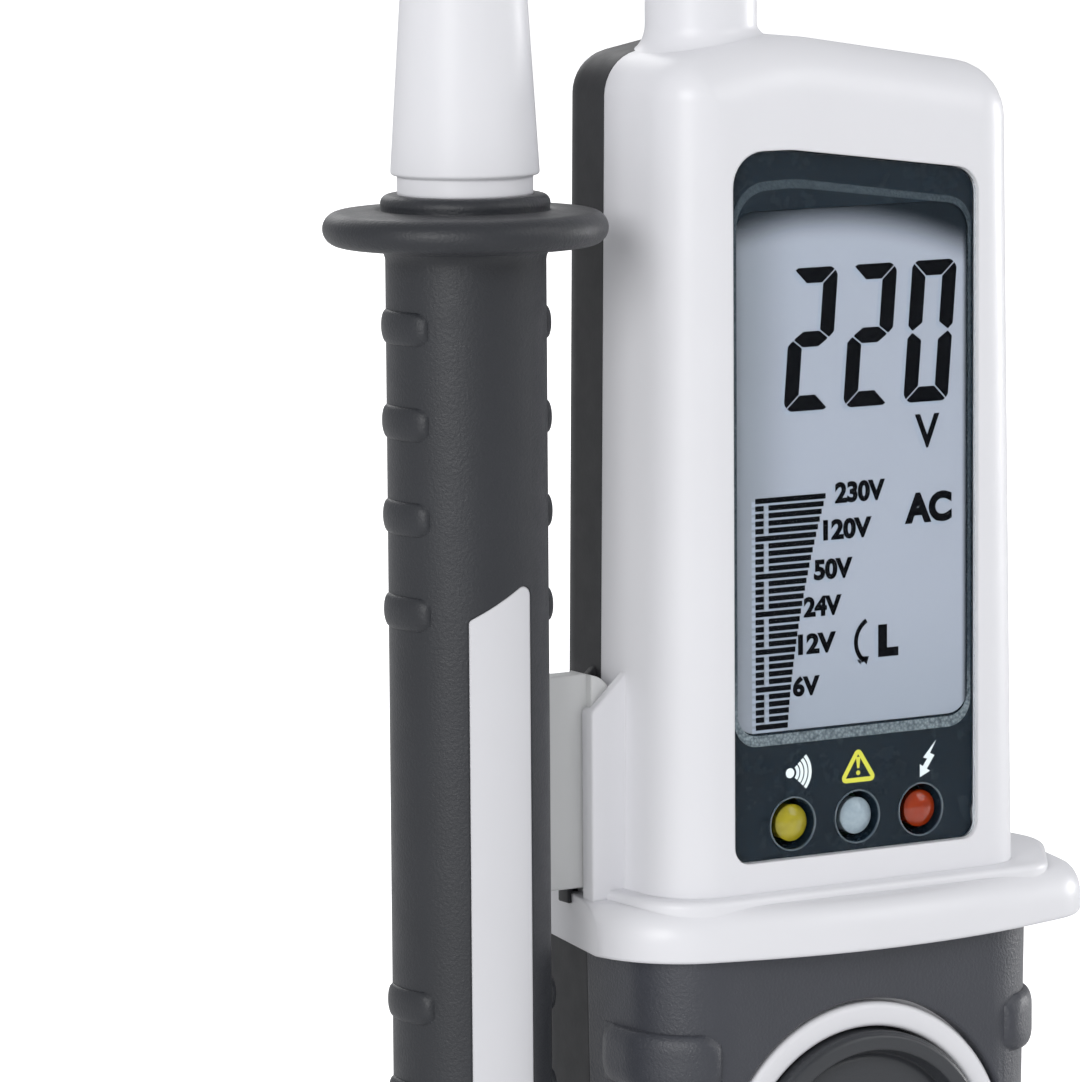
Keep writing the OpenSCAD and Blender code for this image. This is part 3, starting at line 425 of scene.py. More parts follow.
def plastic(name, colour, roughness, grain, depth, mottle=0.03, edge=0.25, **sockets):
    """Moulded plastic or rubber: mould texture of that grain and depth, faint clouds and softened edges"""
    tree, shader = new_material(name, colour, roughness, **sockets)
    place = add(tree, "ShaderNodeTexCoord").outputs["Object"]
    cloud, handled = 14 * MM, 3 * MM
    fine = add(tree, "ShaderNodeTexNoise",
               {"Vector": place, "Scale": 1 / (grain * MM), "Detail": 3.0, "Roughness": 0.6})
    broad = add(tree, "ShaderNodeTexNoise", {"Vector": place, "Scale": 1 / cloud, "Detail": 2.0})
    worn = add(tree, "ShaderNodeTexNoise",
               {"Vector": place, "Scale": 1 / handled, "Detail": 4.0, "Roughness": 0.7})
    spread = {"From Min": 0.3, "From Max": 0.7}
    shade = add(tree, "ShaderNodeMapRange",
                {"Value": broad.outputs[0], **spread, "To Min": 1 - mottle, "To Max": 1 + mottle})
    tree.links.new(stained(tree, colour, shade.outputs[0]), shader.inputs["Base Color"])
    gloss = add(tree, "ShaderNodeMapRange",
                {"Value": worn.outputs[0], **spread, "To Min": roughness - 0.04, "To Max": roughness + 0.05})
    tree.links.new(gloss.outputs[0], shader.inputs["Roughness"])
    soft = add(tree, "ShaderNodeBevel", {"Radius": edge * MM}, samples=4)
    bump = add(tree, "ShaderNodeBump", {"Height": fine.outputs[0], "Strength": 0.6, "Distance": depth * MM,
                                        "Normal": soft.outputs[0]})
    tree.links.new(bump.outputs[0], shader.inputs["Normal"])


def metal(name, colour, roughness, grain):
    """Bare metal with drawing or tumbling marks of that spacing"""
    tree, shader = new_material(name, colour, roughness, Metallic=1.0)
    place = add(tree, "ShaderNodeTexCoord").outputs["Object"]
    marks = add(tree, "ShaderNodeMapping", {"Vector": place, "Scale": (1.0, 1.0, 0.15)})
    noise = add(tree, "ShaderNodeTexNoise",
                {"Vector": marks.outputs[0], "Scale": 1 / (grain * MM), "Detail": 4.0})
    gloss = add(tree, "ShaderNodeMapRange",
                {"Value": noise.outputs[0], "To Min": roughness - 0.08, "To Max": roughness + 0.12})
    tree.links.new(gloss.outputs[0], shader.inputs["Roughness"])
    bump = add(tree, "ShaderNodeBump", {"Height": noise.outputs[0], "Strength": 0.3, "Distance": 0.004 * MM})
    tree.links.new(bump.outputs[0], shader.inputs["Normal"])


def make_plastics_and_metals(finishes):
    """The finishes with one even colour, named for the real material and how its surface was made"""
    # ABS from a satin mould: pale, faintly bluish, with soft broad highlights
    plastic("abs_satin_white", (*finishes.housing, 1), 0.36, 0.3, 0.004, mottle=0.008, edge=0.35)
    # The white ABS of the second probe's hard core, which shows as the inlay, coloured slightly greyer as
    # painted shade
    plastic("abs_satin_core_painted_shade", hex_colour("#d3d3d7"), 0.38, 0.3, 0.005, mottle=0.012, edge=0.3)
    # The same ABS in charcoal, from a spark-eroded mould: matt, and lighter where it catches the light
    plastic("abs_spark_charcoal", (*finishes.rear, 1), 0.52, 0.35, 0.02, mottle=0.04, edge=0.35)
    # Soft TPE moulded over the grip: velvety, with a spark texture about a third of a millimetre across
    plastic("tpe_spark_grey", (*finishes.rubber, 1), 0.42, 0.32, 0.13, mottle=0.08, edge=0.3,
            Sheen_Weight=0.04, Sheen_Roughness=0.5)
    # TPE on the second probe from a shallower and duller mould, coloured darker than the grip's as painted
    # shade
    plastic("tpe_spark_handle", (*finishes.handle, 1), 0.46, 0.32, 0.1, mottle=0.08, edge=0.3,
            Sheen_Weight=0.03, Sheen_Roughness=0.5)
    # Near-black ABS of the button, finely spark textured with a low sheen
    plastic("abs_button_black", hex_colour("#37393d"), 0.38, 0.3, 0.03, mottle=0.05, edge=0.3)
    # Pale grey ABS of the dock key, unpainted, straight from the mould
    plastic("abs_satin_grey", hex_colour("#dcdddd"), 0.4, 0.3, 0.006, mottle=0.02, edge=0.3)
    # EPDM rubber of the cable bushes: black and matt
    plastic("epdm_black", hex_colour("#151618"), 0.65, 0.4, 0.02, edge=0.2)
    # Bezel film printed black on its rear, so it looks deep, with a faint cool cast and few reflections
    plastic("film_printed_black", hex_colour("#101b24"), 0.25, 1.2, 0.002, mottle=0.12, edge=0.1,
            Specular_IOR_Level=0.15)
    # The same film pressed up into a thin glossy edge round each lamp, coloured lighter than the film as a
    # painted highlight
    plastic("film_edge_gloss_painted_highlight", hex_colour("#3b4750"), 0.12, 0.5, 0.001, edge=0.02, Specular_IOR_Level=0.9)
    # Printed steel jacket of the cells, left bare grey
    plastic("cell_jacket_grey", hex_colour("#8d9096"), 0.35, 2.0, 0.002, edge=0.1, Metallic=0.4)
    # Solder mask over fibreglass: glossy green with the weave just telegraphing through
    plastic("solder_mask_green", hex_colour("#2f6b46"), 0.25, 0.6, 0.006, mottle=0.06, edge=0.05)
    # Silicone-insulated lead
    plastic("silicone_red", hex_colour("#8a2f28"), 0.5, 0.5, 0.004, edge=0.05)
    # Light-guide plate behind the display
    plastic("pmma_diffuse_white", hex_colour("#e8e9ec"), 0.3, 1.0, 0.002, edge=0.05)
    # Screen-printed inks on the bezel film
    plastic("ink_white", hex_colour("#e4e8e9"), 0.45, 0.3, 0.001, edge=0.02)
    plastic("ink_yellow", hex_colour("#cfc93c"), 0.45, 0.3, 0.001, edge=0.02)
    # Liquid-crystal segments that are switched on: near black with a blue cast
    plastic("lcd_segment_black", hex_colour("#030408"), 0.5, 1.0, 0.001, edge=0.02, Specular_IOR_Level=0.05)
    # The soft shadow that the segments cast on the reflector behind them
    plastic("lcd_segment_shadow", hex_colour("#949ba9"), 0.45, 1.0, 0.001, edge=0.02)
    # Nickel-plated brass of the test tips, turned and bright
    metal("nickel_turned", hex_colour("#c9c8c4"), 0.2, 0.25)
    # Zinc-plated steel screws, slightly dull
    metal("zinc_plated", hex_colour("#b4b6ba"), 0.34, 0.3)
    # Stamped phosphor-bronze springs
    metal("bronze_stamped", hex_colour("#b98f52"), 0.3, 0.4)


def make_reflector(finishes):
    """Grey reflector of the display with painted shade: darker towards its foot and left side, and a painted
    shadow at its top and right
    """
    face = (*finishes.lcd, 1)
    tree, shader = new_material("lcd_reflector_grey_painted_shade", face, 0.5, Specular_IOR_Level=0.1)
    place = add(tree, "ShaderNodeTexCoord").outputs["Object"]
    axes = add(tree, "ShaderNodeSeparateXYZ", {0: place}).outputs
    # The painted shadow at the top hangs from the window's crown, so height is measured along a parabola like
    # it
    crown_left, crown_curve, shade = 4 * MM, 11.0, hex_colour("#10181f")
    across = add(tree, "ShaderNodeMath", {0: axes["X"], 1: crown_left}, operation="ADD")
    square = add(tree, "ShaderNodeMath", {0: across.outputs[0], 1: 2.0}, operation="POWER")
    height = add(tree, "ShaderNodeMath",
                 {0: square.outputs[0], 1: crown_curve, 2: axes["Z"]}, operation="MULTIPLY_ADD")
    # Painted shade: each mix darkens the colour towards the foot and the left, and paints a shadow at the top
    # and the right edge
    for value, start, end, dark in ((axes["Z"], WINDOW_Z + 28, WINDOW_Z + 6, hex_colour("#90959f")),
                                    (axes["X"], -6.0, -13.5, hex_colour("#84878f")),
                                    (height.outputs[0], WINDOW_Z + 62.6, WINDOW_Z + 67.0, shade),
                                    (axes["X"], 13.5, 14.3, shade)):
        reach = add(tree, "ShaderNodeMapRange",
                    {"Value": value, "From Min": start * MM, "From Max": end * MM},
                    interpolation_type="SMOOTHSTEP")
        mixed = add(tree, "ShaderNodeMix", {"Factor": reach.outputs[0], 6: face, 7: dark}, data_type="RGBA")
        face = mixed.outputs[2]
    tree.links.new(face, shader.inputs["Base Color"])


def make_foil():
    """Crinkled silver foil that seals the display: painted glints on bright specks between creases of painted
    shade, and painted shade that darkens it higher up
    """
    crinkle = 0.34 * MM
    tree, shader = new_material("foil_crinkled", hex_colour("#9aa4aa"), 0.3, Metallic=0.7)
    place = add(tree, "ShaderNodeTexCoord").outputs["Object"]
    crease = add(tree, "ShaderNodeTexVoronoi", {"Vector": place, "Scale": 1 / crinkle})
    # The ramp paints glints on the specks and shade in the creases into the foil's colour
    crease_glint_and_shade = add(tree, "ShaderNodeValToRGB", {"Fac": crease.outputs["Distance"]})
    crease_glint_and_shade.color_ramp.elements[0].color = hex_colour("#8b9499")
    crease_glint_and_shade.color_ramp.elements[1].color = hex_colour("#3a444b")
    # Higher up, the foil is darkened with painted shade
    rise = add(tree, "ShaderNodeSeparateXYZ", {0: place}).outputs["Z"]
    upper = add(tree, "ShaderNodeMapRange", {"Value": rise, "From Min": (WINDOW_Z + 14) * MM,
                                             "From Max": (WINDOW_Z + 20) * MM, "To Max": 0.85})
    painted_shade_above = add(tree, "ShaderNodeMix",
                 {"Factor": upper.outputs[0], 6: crease_glint_and_shade.outputs[0], 7: hex_colour("#2b353d")}, data_type="RGBA")
    tree.links.new(painted_shade_above.outputs[2], shader.inputs["Base Color"])
    bump = add(tree, "ShaderNodeBump",
               {"Height": crease.outputs["Distance"], "Distance": 0.12 * MM, "Strength": 0.8})
    tree.links.new(bump.outputs[0], shader.inputs["Normal"])


def make_epoxies():
    """Cast epoxy of the lamps: glossy domes, two of them dyed and diffusing and one nearly water clear"""
    filler = 0.5 * MM
    for name, value, clear in (("epoxy_yellow", "#998a1e", 0.0), ("epoxy_clear", "#b9c6d0", 0.4),
                               ("epoxy_red", "#8a2a08", 0.0)):
        colour = hex_colour(value)
        tree, shader = new_material(name, colour, 0.08, Transmission_Weight=clear, IOR=1.45)
        place = add(tree, "ShaderNodeTexCoord").outputs["Object"]
        speck = add(tree, "ShaderNodeTexNoise", {"Vector": place, "Scale": 1 / filler, "Detail": 2.0})
        tone = add(tree, "ShaderNodeMapRange", {"Value": speck.outputs[0], "To Min": 0.75, "To Max": 1.2})
        tree.links.new(stained(tree, colour, tone.outputs[0]), shader.inputs["Base Color"])


def make_window():
    """Polycarbonate with an anti-reflective coat: clear, almost without reflections, and light passes it"""
    tree, shader = new_material("polycarbonate_clear", hex_colour("#f4f7f8"), 0.03,
                                Transmission_Weight=1.0, IOR=1.06)
    path = add(tree, "ShaderNodeLightPath")
    through = add(tree, "ShaderNodeBsdfTransparent", {"Color": hex_colour("#eef2f4")})
    mixed = add(tree, "ShaderNodeMixShader",
                {0: path.outputs["Is Shadow Ray"], 1: shader.outputs[0], 2: through.outputs[0]})
    tree.links.new(mixed.outputs[0], tree.nodes["Material Output"].inputs["Surface"])


def make_studio_paper():
    """White paper of the studio floor, which glows a little to the camera so that it stays white"""
    tooth = 0.6 * MM
    tree, shader = new_material("studio_paper", hex_colour("#f2f2f2"), 0.9)
    path = add(tree, "ShaderNodeLightPath")
    seen = add(tree, "ShaderNodeMath",
               {0: path.outputs["Is Camera Ray"], 1: path.outputs["Is Transmission Ray"]},
               operation="MAXIMUM")
    place = add(tree, "ShaderNodeTexCoord").outputs["Object"]
    grain = add(tree, "ShaderNodeTexNoise", {"Vector": place, "Scale": 1 / tooth})
    bump = add(tree, "ShaderNodeBump", {"Height": grain.outputs[0], "Distance": 0.01 * MM, "Strength": 0.2})
    tree.links.new(bump.outputs[0], shader.inputs["Normal"])
    glow = add(tree, "ShaderNodeEmission", {"Color": (1, 1, 1, 1), "Strength": 0.75})
    lit = add(tree, "ShaderNodeAddShader", {0: shader.outputs[0], 1: glow.outputs[0]})
    mixed = add(tree, "ShaderNodeMixShader", {0: seen.outputs[0], 1: shader.outputs[0], 2: lit.outputs[0]})
    tree.links.new(mixed.outputs[0], tree.nodes["Material Output"].inputs["Surface"])


# Forms that two pieces share


def roof(x):
    """Height of the head's crowned top at x"""
    crown = sorted((p[0], p[1]) for p in rounded(HEAD, 0, 24) if p[1] > 213)
    for a, b in zip(crown, crown[1:]):
        if a[0] <= x < b[0]:
            return a[1] + (b[1] - a[1]) * (x - a[0]) / (b[0] - a[0])
    return crown[0][1]


def neck_seat():
    """The hole for the neck in the head's top"""
    return rod("neck_seat", 5.65, 206.0, 230.0, (NECK_X, 0, 0))


def cable_mouth():
    """The hole for the cable's bush in the foot"""
    return rod("cable_mouth", 4.4, -1, 3.5)


def screw_posts(places, r, low, high, segments):
    """Cylinders round the screws' axes, from a low to a high distance in front of the middle"""
    return [rod("post", r, low, high, (x, 0, z), "Y", segments) for x, z in places]


def housing(name, grip_inset):
    """What both halves of the housing share: head, flange, plinth and the core of the grip, hollow inside"""
    head = moulded(name, *HEAD_FORM)
    carve(head, "INTERSECT", block("above", (-FAR, -FAR, FLANGE_Z + 0.8), (FAR, FAR, ABOVE)))
    rim = [radians(90 * k / 10) for k in range(11)]
    foot_r, top_drop, top_reach, step_r = 0.4, 3.2, 2.4, 0.7
    edges = [(FLANGE_Z + 0.25 + foot_r * (1 - cos(t)), foot_r * (1 - sin(t))) for t in rim]
    edges += [(DECK_Z - top_drop * (1 - cos(t)), top_reach * (1 - sin(t))) for t in reversed(rim)]
    flange = loft("flange", [[(p[0], p[1], z) for p in rounded(FLANGE, inset, 14)] for z, inset in edges])
    steps = [(DECK_Z - 0.9, 0.0)] + [(DECK_Z + 0.2 + step_r * sin(t), step_r * (1 - cos(t))) for t in rim]
    plinth = loft("plinth", [[(p[0], p[1], z) for p in rounded(PLINTH, inset)] for z, inset in steps])
    carve(flange, "UNION", plinth)
    carve(flange, "INTERSECT", level("end_cut", FLANGE_END, FLANGE_Z - 5, FLANGE_Z + 15))
    grip = moulded("grip", *GRIP_FORM, grip_inset)
    carve(grip, "INTERSECT", block("between", (-FAR, -FAR, 0), (FAR, FAR, DECK_Z - 0.2)))
    carve(head, "UNION", flange, grip)
    space = moulded("space", *HEAD_FORM, WALL)
    core = moulded("core", *GRIP_FORM, COVER + 0.6 * WALL)
    carve(core, "INTERSECT", block("inside", (-FAR, -FAR, 3.0), (FAR, FAR, DECK_Z - 0.5)))
    return carve(head, "DIFFERENCE", space, core)


def front_share():
    """The part of the housing that is the white front half: it reaches further back in the flange"""
    share = block("front", (-FAR, -FAR, -FAR), (FAR, PARTING_Y, ABOVE))
    behind = block("behind", (-FAR, -98, FLANGE_Z + 0.2), (FAR, FLANGE_PARTING_Y, DECK_Z + 0.95))
    return carve(share, "UNION", behind)


def dock_lip(side):
    """One lip of the dock: a hooked rail along the head's left side with a slanted top"""
    reach, root, throat, foot = -25.9, -21.2, -25.4, 129.5
    hook, inner, outer = 1.4 * side, 2.3 * side, 3.4 * side
    plan = [(root, outer), (reach, outer), (reach, hook), (throat, hook), (throat, inner), (root, inner)]
    rail = level("dock_rail", [(x, y + DOCK_Y) for x, y in plan], foot, 160.0)
    face = rounded([(reach, foot, 0), (root, foot, 0), (root, 154.2, 0), (reach, 149.9, 0.7)])
    carve(rail, "INTERSECT", upright("dock_face", face, -12, 12))
    return soften(rail, 0.3, 3)


def key_form(name):
    """The dock key: a plate from the second probe with a wider head that slides behind the lips"""
    web, head, step, end = 1.1, 2.0, -25.1, -22.6
    plan = [(PROBE_X, -web), (step, -web), (step, -head), (end, -head),
            (end, head), (step, head), (step, web), (PROBE_X, web)]
    key = level(name, [(x, y + DOCK_Y) for x, y in plan], KEY_LOW, KEY_TOP)
    face = rounded([(PROBE_X, KEY_LOW, 0), (end, KEY_LOW, 0.8), (end, KEY_TOP, 3.0), (PROBE_X, KEY_TOP, 0)])
    return carve(key, "INTERSECT", upright("key_face", face, -12, 12))


def inlay_outline(grow=0.0):
    """The slanted outline of the hard inlay in the second probe's handle"""
    return rounded([(-43.1, 48.0, 0.8), (-36.4, 51.9, 0.8), (-36.4, 165.1, 1.0), (-43.1, 161.2, 0.6)], -grow)


def swelling(name, spine, half_height, proud, edge, corner, sink=0.9):
    """A soft raised pad along a spine of points with outward directions, rounded at its ends and edges"""
    lengths = [0.0]
    for a, b in zip(spine, spine[1:]):
        lengths.append(lengths[-1] + (Vector(b[0]) - Vector(a[0])).length)
    middle, rows, tuck = lengths[-1] / 2, 18, 0.12
    points = []
    for side in (1, 0):
        for s, (place, out) in zip(lengths, spine):
            for k in range(rows + 1):
                z = half_height * sin(pi / 2 * (2 * k / rows - 1))
                u, v = abs(s - middle), abs(z)
                dx, dz = u - (middle - corner), v - (half_height - corner)
                if dx > 0 and dz > 0:
                    gap = corner - (dx * dx + dz * dz) ** 0.5
                else:
                    gap = min(middle - u, half_height - v)
                t = max(0.0, min(gap / edge, 1.0))
                rise = proud * (1 - (1 - t) ** 2) ** 0.5 - (tuck if gap <= 0 else 0)
                lift = rise if side else -sink
                points.append((place[0] + out[0] * lift, place[1] + out[1] * lift, z))
    wide, deep = rows + 1, len(spine)
    size = wide * deep
    faces = []
    for i in range(deep - 1):
        for k in range(rows):
            a = i * wide + k
            faces.append((a, a + 1, a + wide + 1, a + wide))
            faces.append((size + a, size + a + wide, size + a + wide + 1, size + a + 1))
        for k in (0, rows):
            a = i * wide + k
            faces.append((a, a + wide, size + a + wide, size + a))
    for k in range(rows):
        for i in (0, deep - 1):
            a = i * wide + k
            faces.append((a, a + 1, size + a + 1, size + a))
    return new_mesh(name, points, faces)


def stroke(name, path, width, y0, y1):
    """A flat line of even width along an open path of x and z"""
    left, right = [], []
    for i, p in enumerate(path):
        a, b = Vector(path[max(i - 1, 0)]), Vector(path[min(i + 1, len(path) - 1)])
        across = (b - a).normalized().orthogonal() * width / 2
        left.append(Vector(p) + across)
        right.append(Vector(p) - across)
    return upright(name, left + right[::-1], y0, y1)


def lettering(name, words, x, z, height, width, y0, y1, weight=0.0):
    """Generic characters of the display, fitted to a box from x and z up and to the right"""
    curve = bpy.data.curves.new(name, "FONT")
    curve.body = words
    curve.offset = weight
    curve.resolution_u = 4
    source = new_piece(name, curve)
    flat = bpy.data.meshes.new_from_object(source.evaluated_get(bpy.context.evaluated_depsgraph_get()))
    bpy.data.objects.remove(source)
    xs = [v.co.x for v in flat.vertices]
    ys = [v.co.y for v in flat.vertices]
    bm = bmesh.new()
    bm.from_mesh(flat)
    for v in bm.verts:
        u = (v.co.x - min(xs)) / (max(xs) - min(xs))
        w = (v.co.y - min(ys)) / (max(ys) - min(ys))
        v.co = Vector((x + u * width, y0, z + w * height)) * MM
    bmesh.ops.remove_doubles(bm, verts=bm.verts, dist=1e-6)
    made = bmesh.ops.extrude_face_region(bm, geom=bm.faces[:])
    for v in [g for g in made["geom"] if isinstance(g, bmesh.types.BMVert)]:
        v.co.y = y1 * MM
    bmesh.ops.recalc_face_normals(bm, faces=bm.faces)
    return from_bmesh(name, bm)


def seven_segment(name, digit, x, z, y0, y1):
    """One seven-segment digit with mitred joints and rounded outer corners, leaning to the right

    A bar is the width of an upright segment, a beam that of a level one, and a point the depth of a
    segment's pointed end. The gap is what each segment stands back from the next.
    """
    wide, tall, lean, bar, beam = 5.65, 14.65, 1.2, 1.85, 1.72
    gap, half, point, low, high = 0.07, tall / 2, 0.62, (tall - beam) / 2, (tall + beam) / 2
    right, tip = wide - bar, wide - point
    shapes = {
        "a": [(0, tall), (wide, tall), (right, tall - beam), (bar, tall - beam)],
        "d": [(0, 0), (wide, 0), (right, beam), (bar, beam)],
        "g": [(point, half), (bar, high), (right, high), (tip, half), (right, low), (bar, low)],
        "f": [(0, tall), (bar, tall - beam), (bar, high), (point, half), (0, half + point)],
        "e": [(0, 0), (bar, beam), (bar, low), (point, half), (0, half - point)],
        "b": [(wide, tall), (right, tall - beam), (right, high), (tip, half), (wide, half + point)],
        "c": [(wide, 0), (right, beam), (right, low), (tip, half), (wide, half - point)],
    }
    pieces = []
    for letter in SEGMENTS[digit]:
        corners = [(x + u + lean * v / tall, z + v, 0.2) for u, v in shapes[letter]]
        area = sum(a[0] * b[1] - b[0] * a[1] for a, b in zip(corners, corners[1:] + corners[:1]))
        if area > 0:
            corners.reverse()
        pieces.append(upright(name, rounded(corners, gap, 3), y0, y1))
    corner_r = 1.3
    outline = [(x, z, corner_r), (x + wide, z, corner_r), (x + wide + lean, z + tall, corner_r),
               (x + lean, z + tall, corner_r)]
    return carve(joined(name, pieces), "INTERSECT", upright("digit_face", rounded(outline), y0 - 1, y1 + 1))


# Settings that a user would change


class TesterSizes(bpy.types.PropertyGroup):
    """Sizes of the details that a user may want stronger or fainter"""
    bump_proud: FloatProperty(
        name="Bump Height", description="How far the grip bumps of the second probe stand proud",
        default=0.55 * MM, min=0, max=1.5 * MM, unit="LENGTH", precision=5)
    bump_rows: IntProperty(
        name="Upper Bumps", description="Bumps above the dock on each side", default=4, min=1, max=5)
    pad_proud: FloatProperty(
        name="Pad Height", description="How far the finger pads of the grip stand proud",
        default=0.8 * MM, min=0, max=1.5 * MM, unit="LENGTH", precision=5)
    bar_rows: IntProperty(
        name="Bar Rows", description="Rows of the display's bar graph", default=31, min=6, max=31)
    bar_pitch: FloatProperty(
        name="Bar Pitch", description="Distance between rows of the bar graph",
        default=0.771 * MM, min=0.2 * MM, max=2 * MM, unit="LENGTH", precision=5)
    lens_edge: FloatProperty(
        name="Lens Edge", description="Width of the polished bevel round the window",
        default=0.12 * MM, min=0, max=0.2 * MM, unit="LENGTH", precision=5)


class TesterFinishes(bpy.types.PropertyGroup):
    """Colours of the finishes that set the tester's look"""
    housing: FloatVectorProperty(
        name="Housing", description="Colour of the moulded housing",
        subtype="COLOR", size=3, min=0, max=1, default=hex_colour("#e2e2e6")[:3])
    rear: FloatVectorProperty(
        name="Rear Half", description="Colour of the rear half of the housing",
        subtype="COLOR", size=3, min=0, max=1, default=hex_colour("#27282c")[:3])
    rubber: FloatVectorProperty(
        name="Soft Grip", description="Colour of the soft grip of the main unit",
        subtype="COLOR", size=3, min=0, max=1, default=hex_colour("#3c3e45")[:3])
    # Darker than the soft grip's colour, as painted shade
    handle: FloatVectorProperty(
        name="Probe Handle", description="Colour of the second probe's soft handle",
        subtype="COLOR", size=3, min=0, max=1, default=hex_colour("#26282d")[:3])
    lcd: FloatVectorProperty(
        name="Display", description="Colour of the display's reflector",
        subtype="COLOR", size=3, min=0, max=1, default=hex_colour("#9ea1ac")[:3])


# Operators, one for each piece or group of like pieces


class TESTER_OT_finishes(bpy.types.Operator):
    """Makes every material of the tester"""
    bl_idname = "tester.finishes"
    bl_label = "Finishes"

    def execute(self, context):
        finishes = context.scene.tester_finishes
        make_plastics_and_metals(finishes)
        make_reflector(finishes)
        make_foil()
        make_epoxies()
        make_window()
        make_studio_paper()
        return {"FINISHED"}


class TESTER_OT_front_shell(bpy.types.Operator):
    """Moulds the white front half: head, flange, plinth, dock lip and the collar round the button"""
    bl_idname = "tester.front_shell"
    bl_label = "Front Shell"

    def execute(self, context):
        axis = (0, 0, BUTTON_Z)
        shell = housing("front_housing", COVER)
        carve(shell, "DIFFERENCE", rod("well", 16.6, 1.8, 14.5, axis, "Y"))
        carve(shell, "INTERSECT", front_share())
        edge_r, bore_r = 0.7, 0.5
        edge = arc((RING_R - edge_r, RING_FACE - edge_r), edge_r, 0, 90)
        bore = arc((RING_BORE + bore_r, RING_FACE - bore_r), bore_r, 90, 180)
        collar = turned("collar", [(RING_BORE, 10.2), (RING_R, 10.2), *edge, *bore], axis, "Y", 128)
        carve(shell, "UNION", collar, dock_lip(-1))
        carve(shell, "DIFFERENCE", upright("window", rounded(WINDOW), -13, -9.3), neck_seat(), cable_mouth())
        finished(shell, "abs_satin_white", "tester_body", ["front_shell"])
        return {"FINISHED"}


class TESTER_OT_rear_shell(bpy.types.Operator):
    """Moulds the charcoal rear half with the battery bay, the screw wells and the rear lip of the dock"""
    bl_idname = "tester.rear_shell"
    bl_label = "Rear Shell"

    def execute(self, context):
        axis = (0, 0, DOOR_SCREW_Z)
        shell = housing("rear_housing", 0.0)
        carve(shell, "DIFFERENCE", front_share())
        posts = screw_posts(HEAD_SCREWS + FOOT_SCREWS, 2.6, -9.7, -2.5, 32)
        carve(shell, "UNION", dock_lip(1), upright("rim", rounded(DOOR, -2.0), 9.4, 10.4),
              rod("boss", 3.4, -10.7, -4.4, axis, "Y", 48), *posts)
        well_r, floor = 2.3, 3.0
        wells = screw_posts(HEAD_SCREWS, well_r, -14, floor - HEAD_REAR, 40)
        wells += screw_posts(FOOT_SCREWS, well_r, -14, floor - GRIP_REAR, 40)
        carve(shell, "DIFFERENCE", upright("door_seat", rounded(DOOR, -0.3), 10.7, 14.0),
              upright("bay_mouth", rounded(oblong(-12.0, 12.0, 18.5, 69.6, 2.0)), 9.0, 13.0),
              rod("screw_hole", 1.5, -13, -5.7, axis, "Y", 32), neck_seat(), cable_mouth(), *wells)
        finished(shell, "abs_spark_charcoal", "tester_body", ["rear_shell"])
        return {"FINISHED"}


class TESTER_OT_grip_cover(bpy.types.Operator):
    """Moulds the soft front of the grip and its finger pads"""
    bl_idname = "tester.grip_cover"
    bl_label = "Grip Cover"

    def execute(self, context):
        sizes = context.scene.tester_sizes
        cover = moulded("grip_skin", *GRIP_FORM)
        carve(cover, "INTERSECT", block("front", (-FAR, -FAR, 0), (FAR, PARTING_Y, FLANGE_Z + 0.3)))
        hole, edge = RING_R + RING_GAP, 0.4
        mouth = arc((hole + edge, GRIP_FRONT - edge), edge, 180, 90)
        ring_hole = turned("ring_hole", [(0, 1), (hole, 1), *mouth, (hole + edge, 20), (0, 20)],
                           (0, 0, BUTTON_Z), "Y", 128)
        carve(cover, "DIFFERENCE", moulded("core", *GRIP_FORM, COVER), ring_hole, cable_mouth())
        finished(cover, "tpe_spark_grey", "tester_body", ["grip_cover"])

        # A pad follows the grip's rounded front edge and then its side, which tapers to the foot
        pad_z, pad_pitch, taper = 114.65, 13.2, 2.7 / 125
        half, turn_y, turn_r = 21.3 + taper * pad_z, GRIP_FRONT_R - GRIP_FRONT, GRIP_FRONT_R
        bend = [((half - turn_r + turn_r * sin(t), turn_y - turn_r * cos(t)), (sin(t), -cos(t)))
                for t in [radians(12 + 78 * k / 20) for k in range(21)]]
        flank = [((half, turn_y + 4.9 * k / 5), (1, 0)) for k in range(1, 6)]
        rows, rubber = row_tree(), bpy.data.materials["tpe_spark_grey"]
        for side in (-1, 1):
            spine = [((x * side, y), (u * side, v)) for (x, y), (u, v) in bend + flank]
            pad = swelling("pad", spine, 3.0, sizes.pad_proud / MM, 1.7, 2.6)
            shift(pad, 0, 0, pad_z)
            step = (-side * taper * pad_pitch * MM, 0, -pad_pitch * MM)
            pads = grown("finger_pads_" + ("left" if side < 0 else "right"), rows,
                         {"Piece": pad, "Count": 4, "Step": step, "Finish": rubber})
            bpy.data.objects.remove(pad)
            finished(pads, "tpe_spark_grey", "tester_body", angle=60)
        return {"FINISHED"}


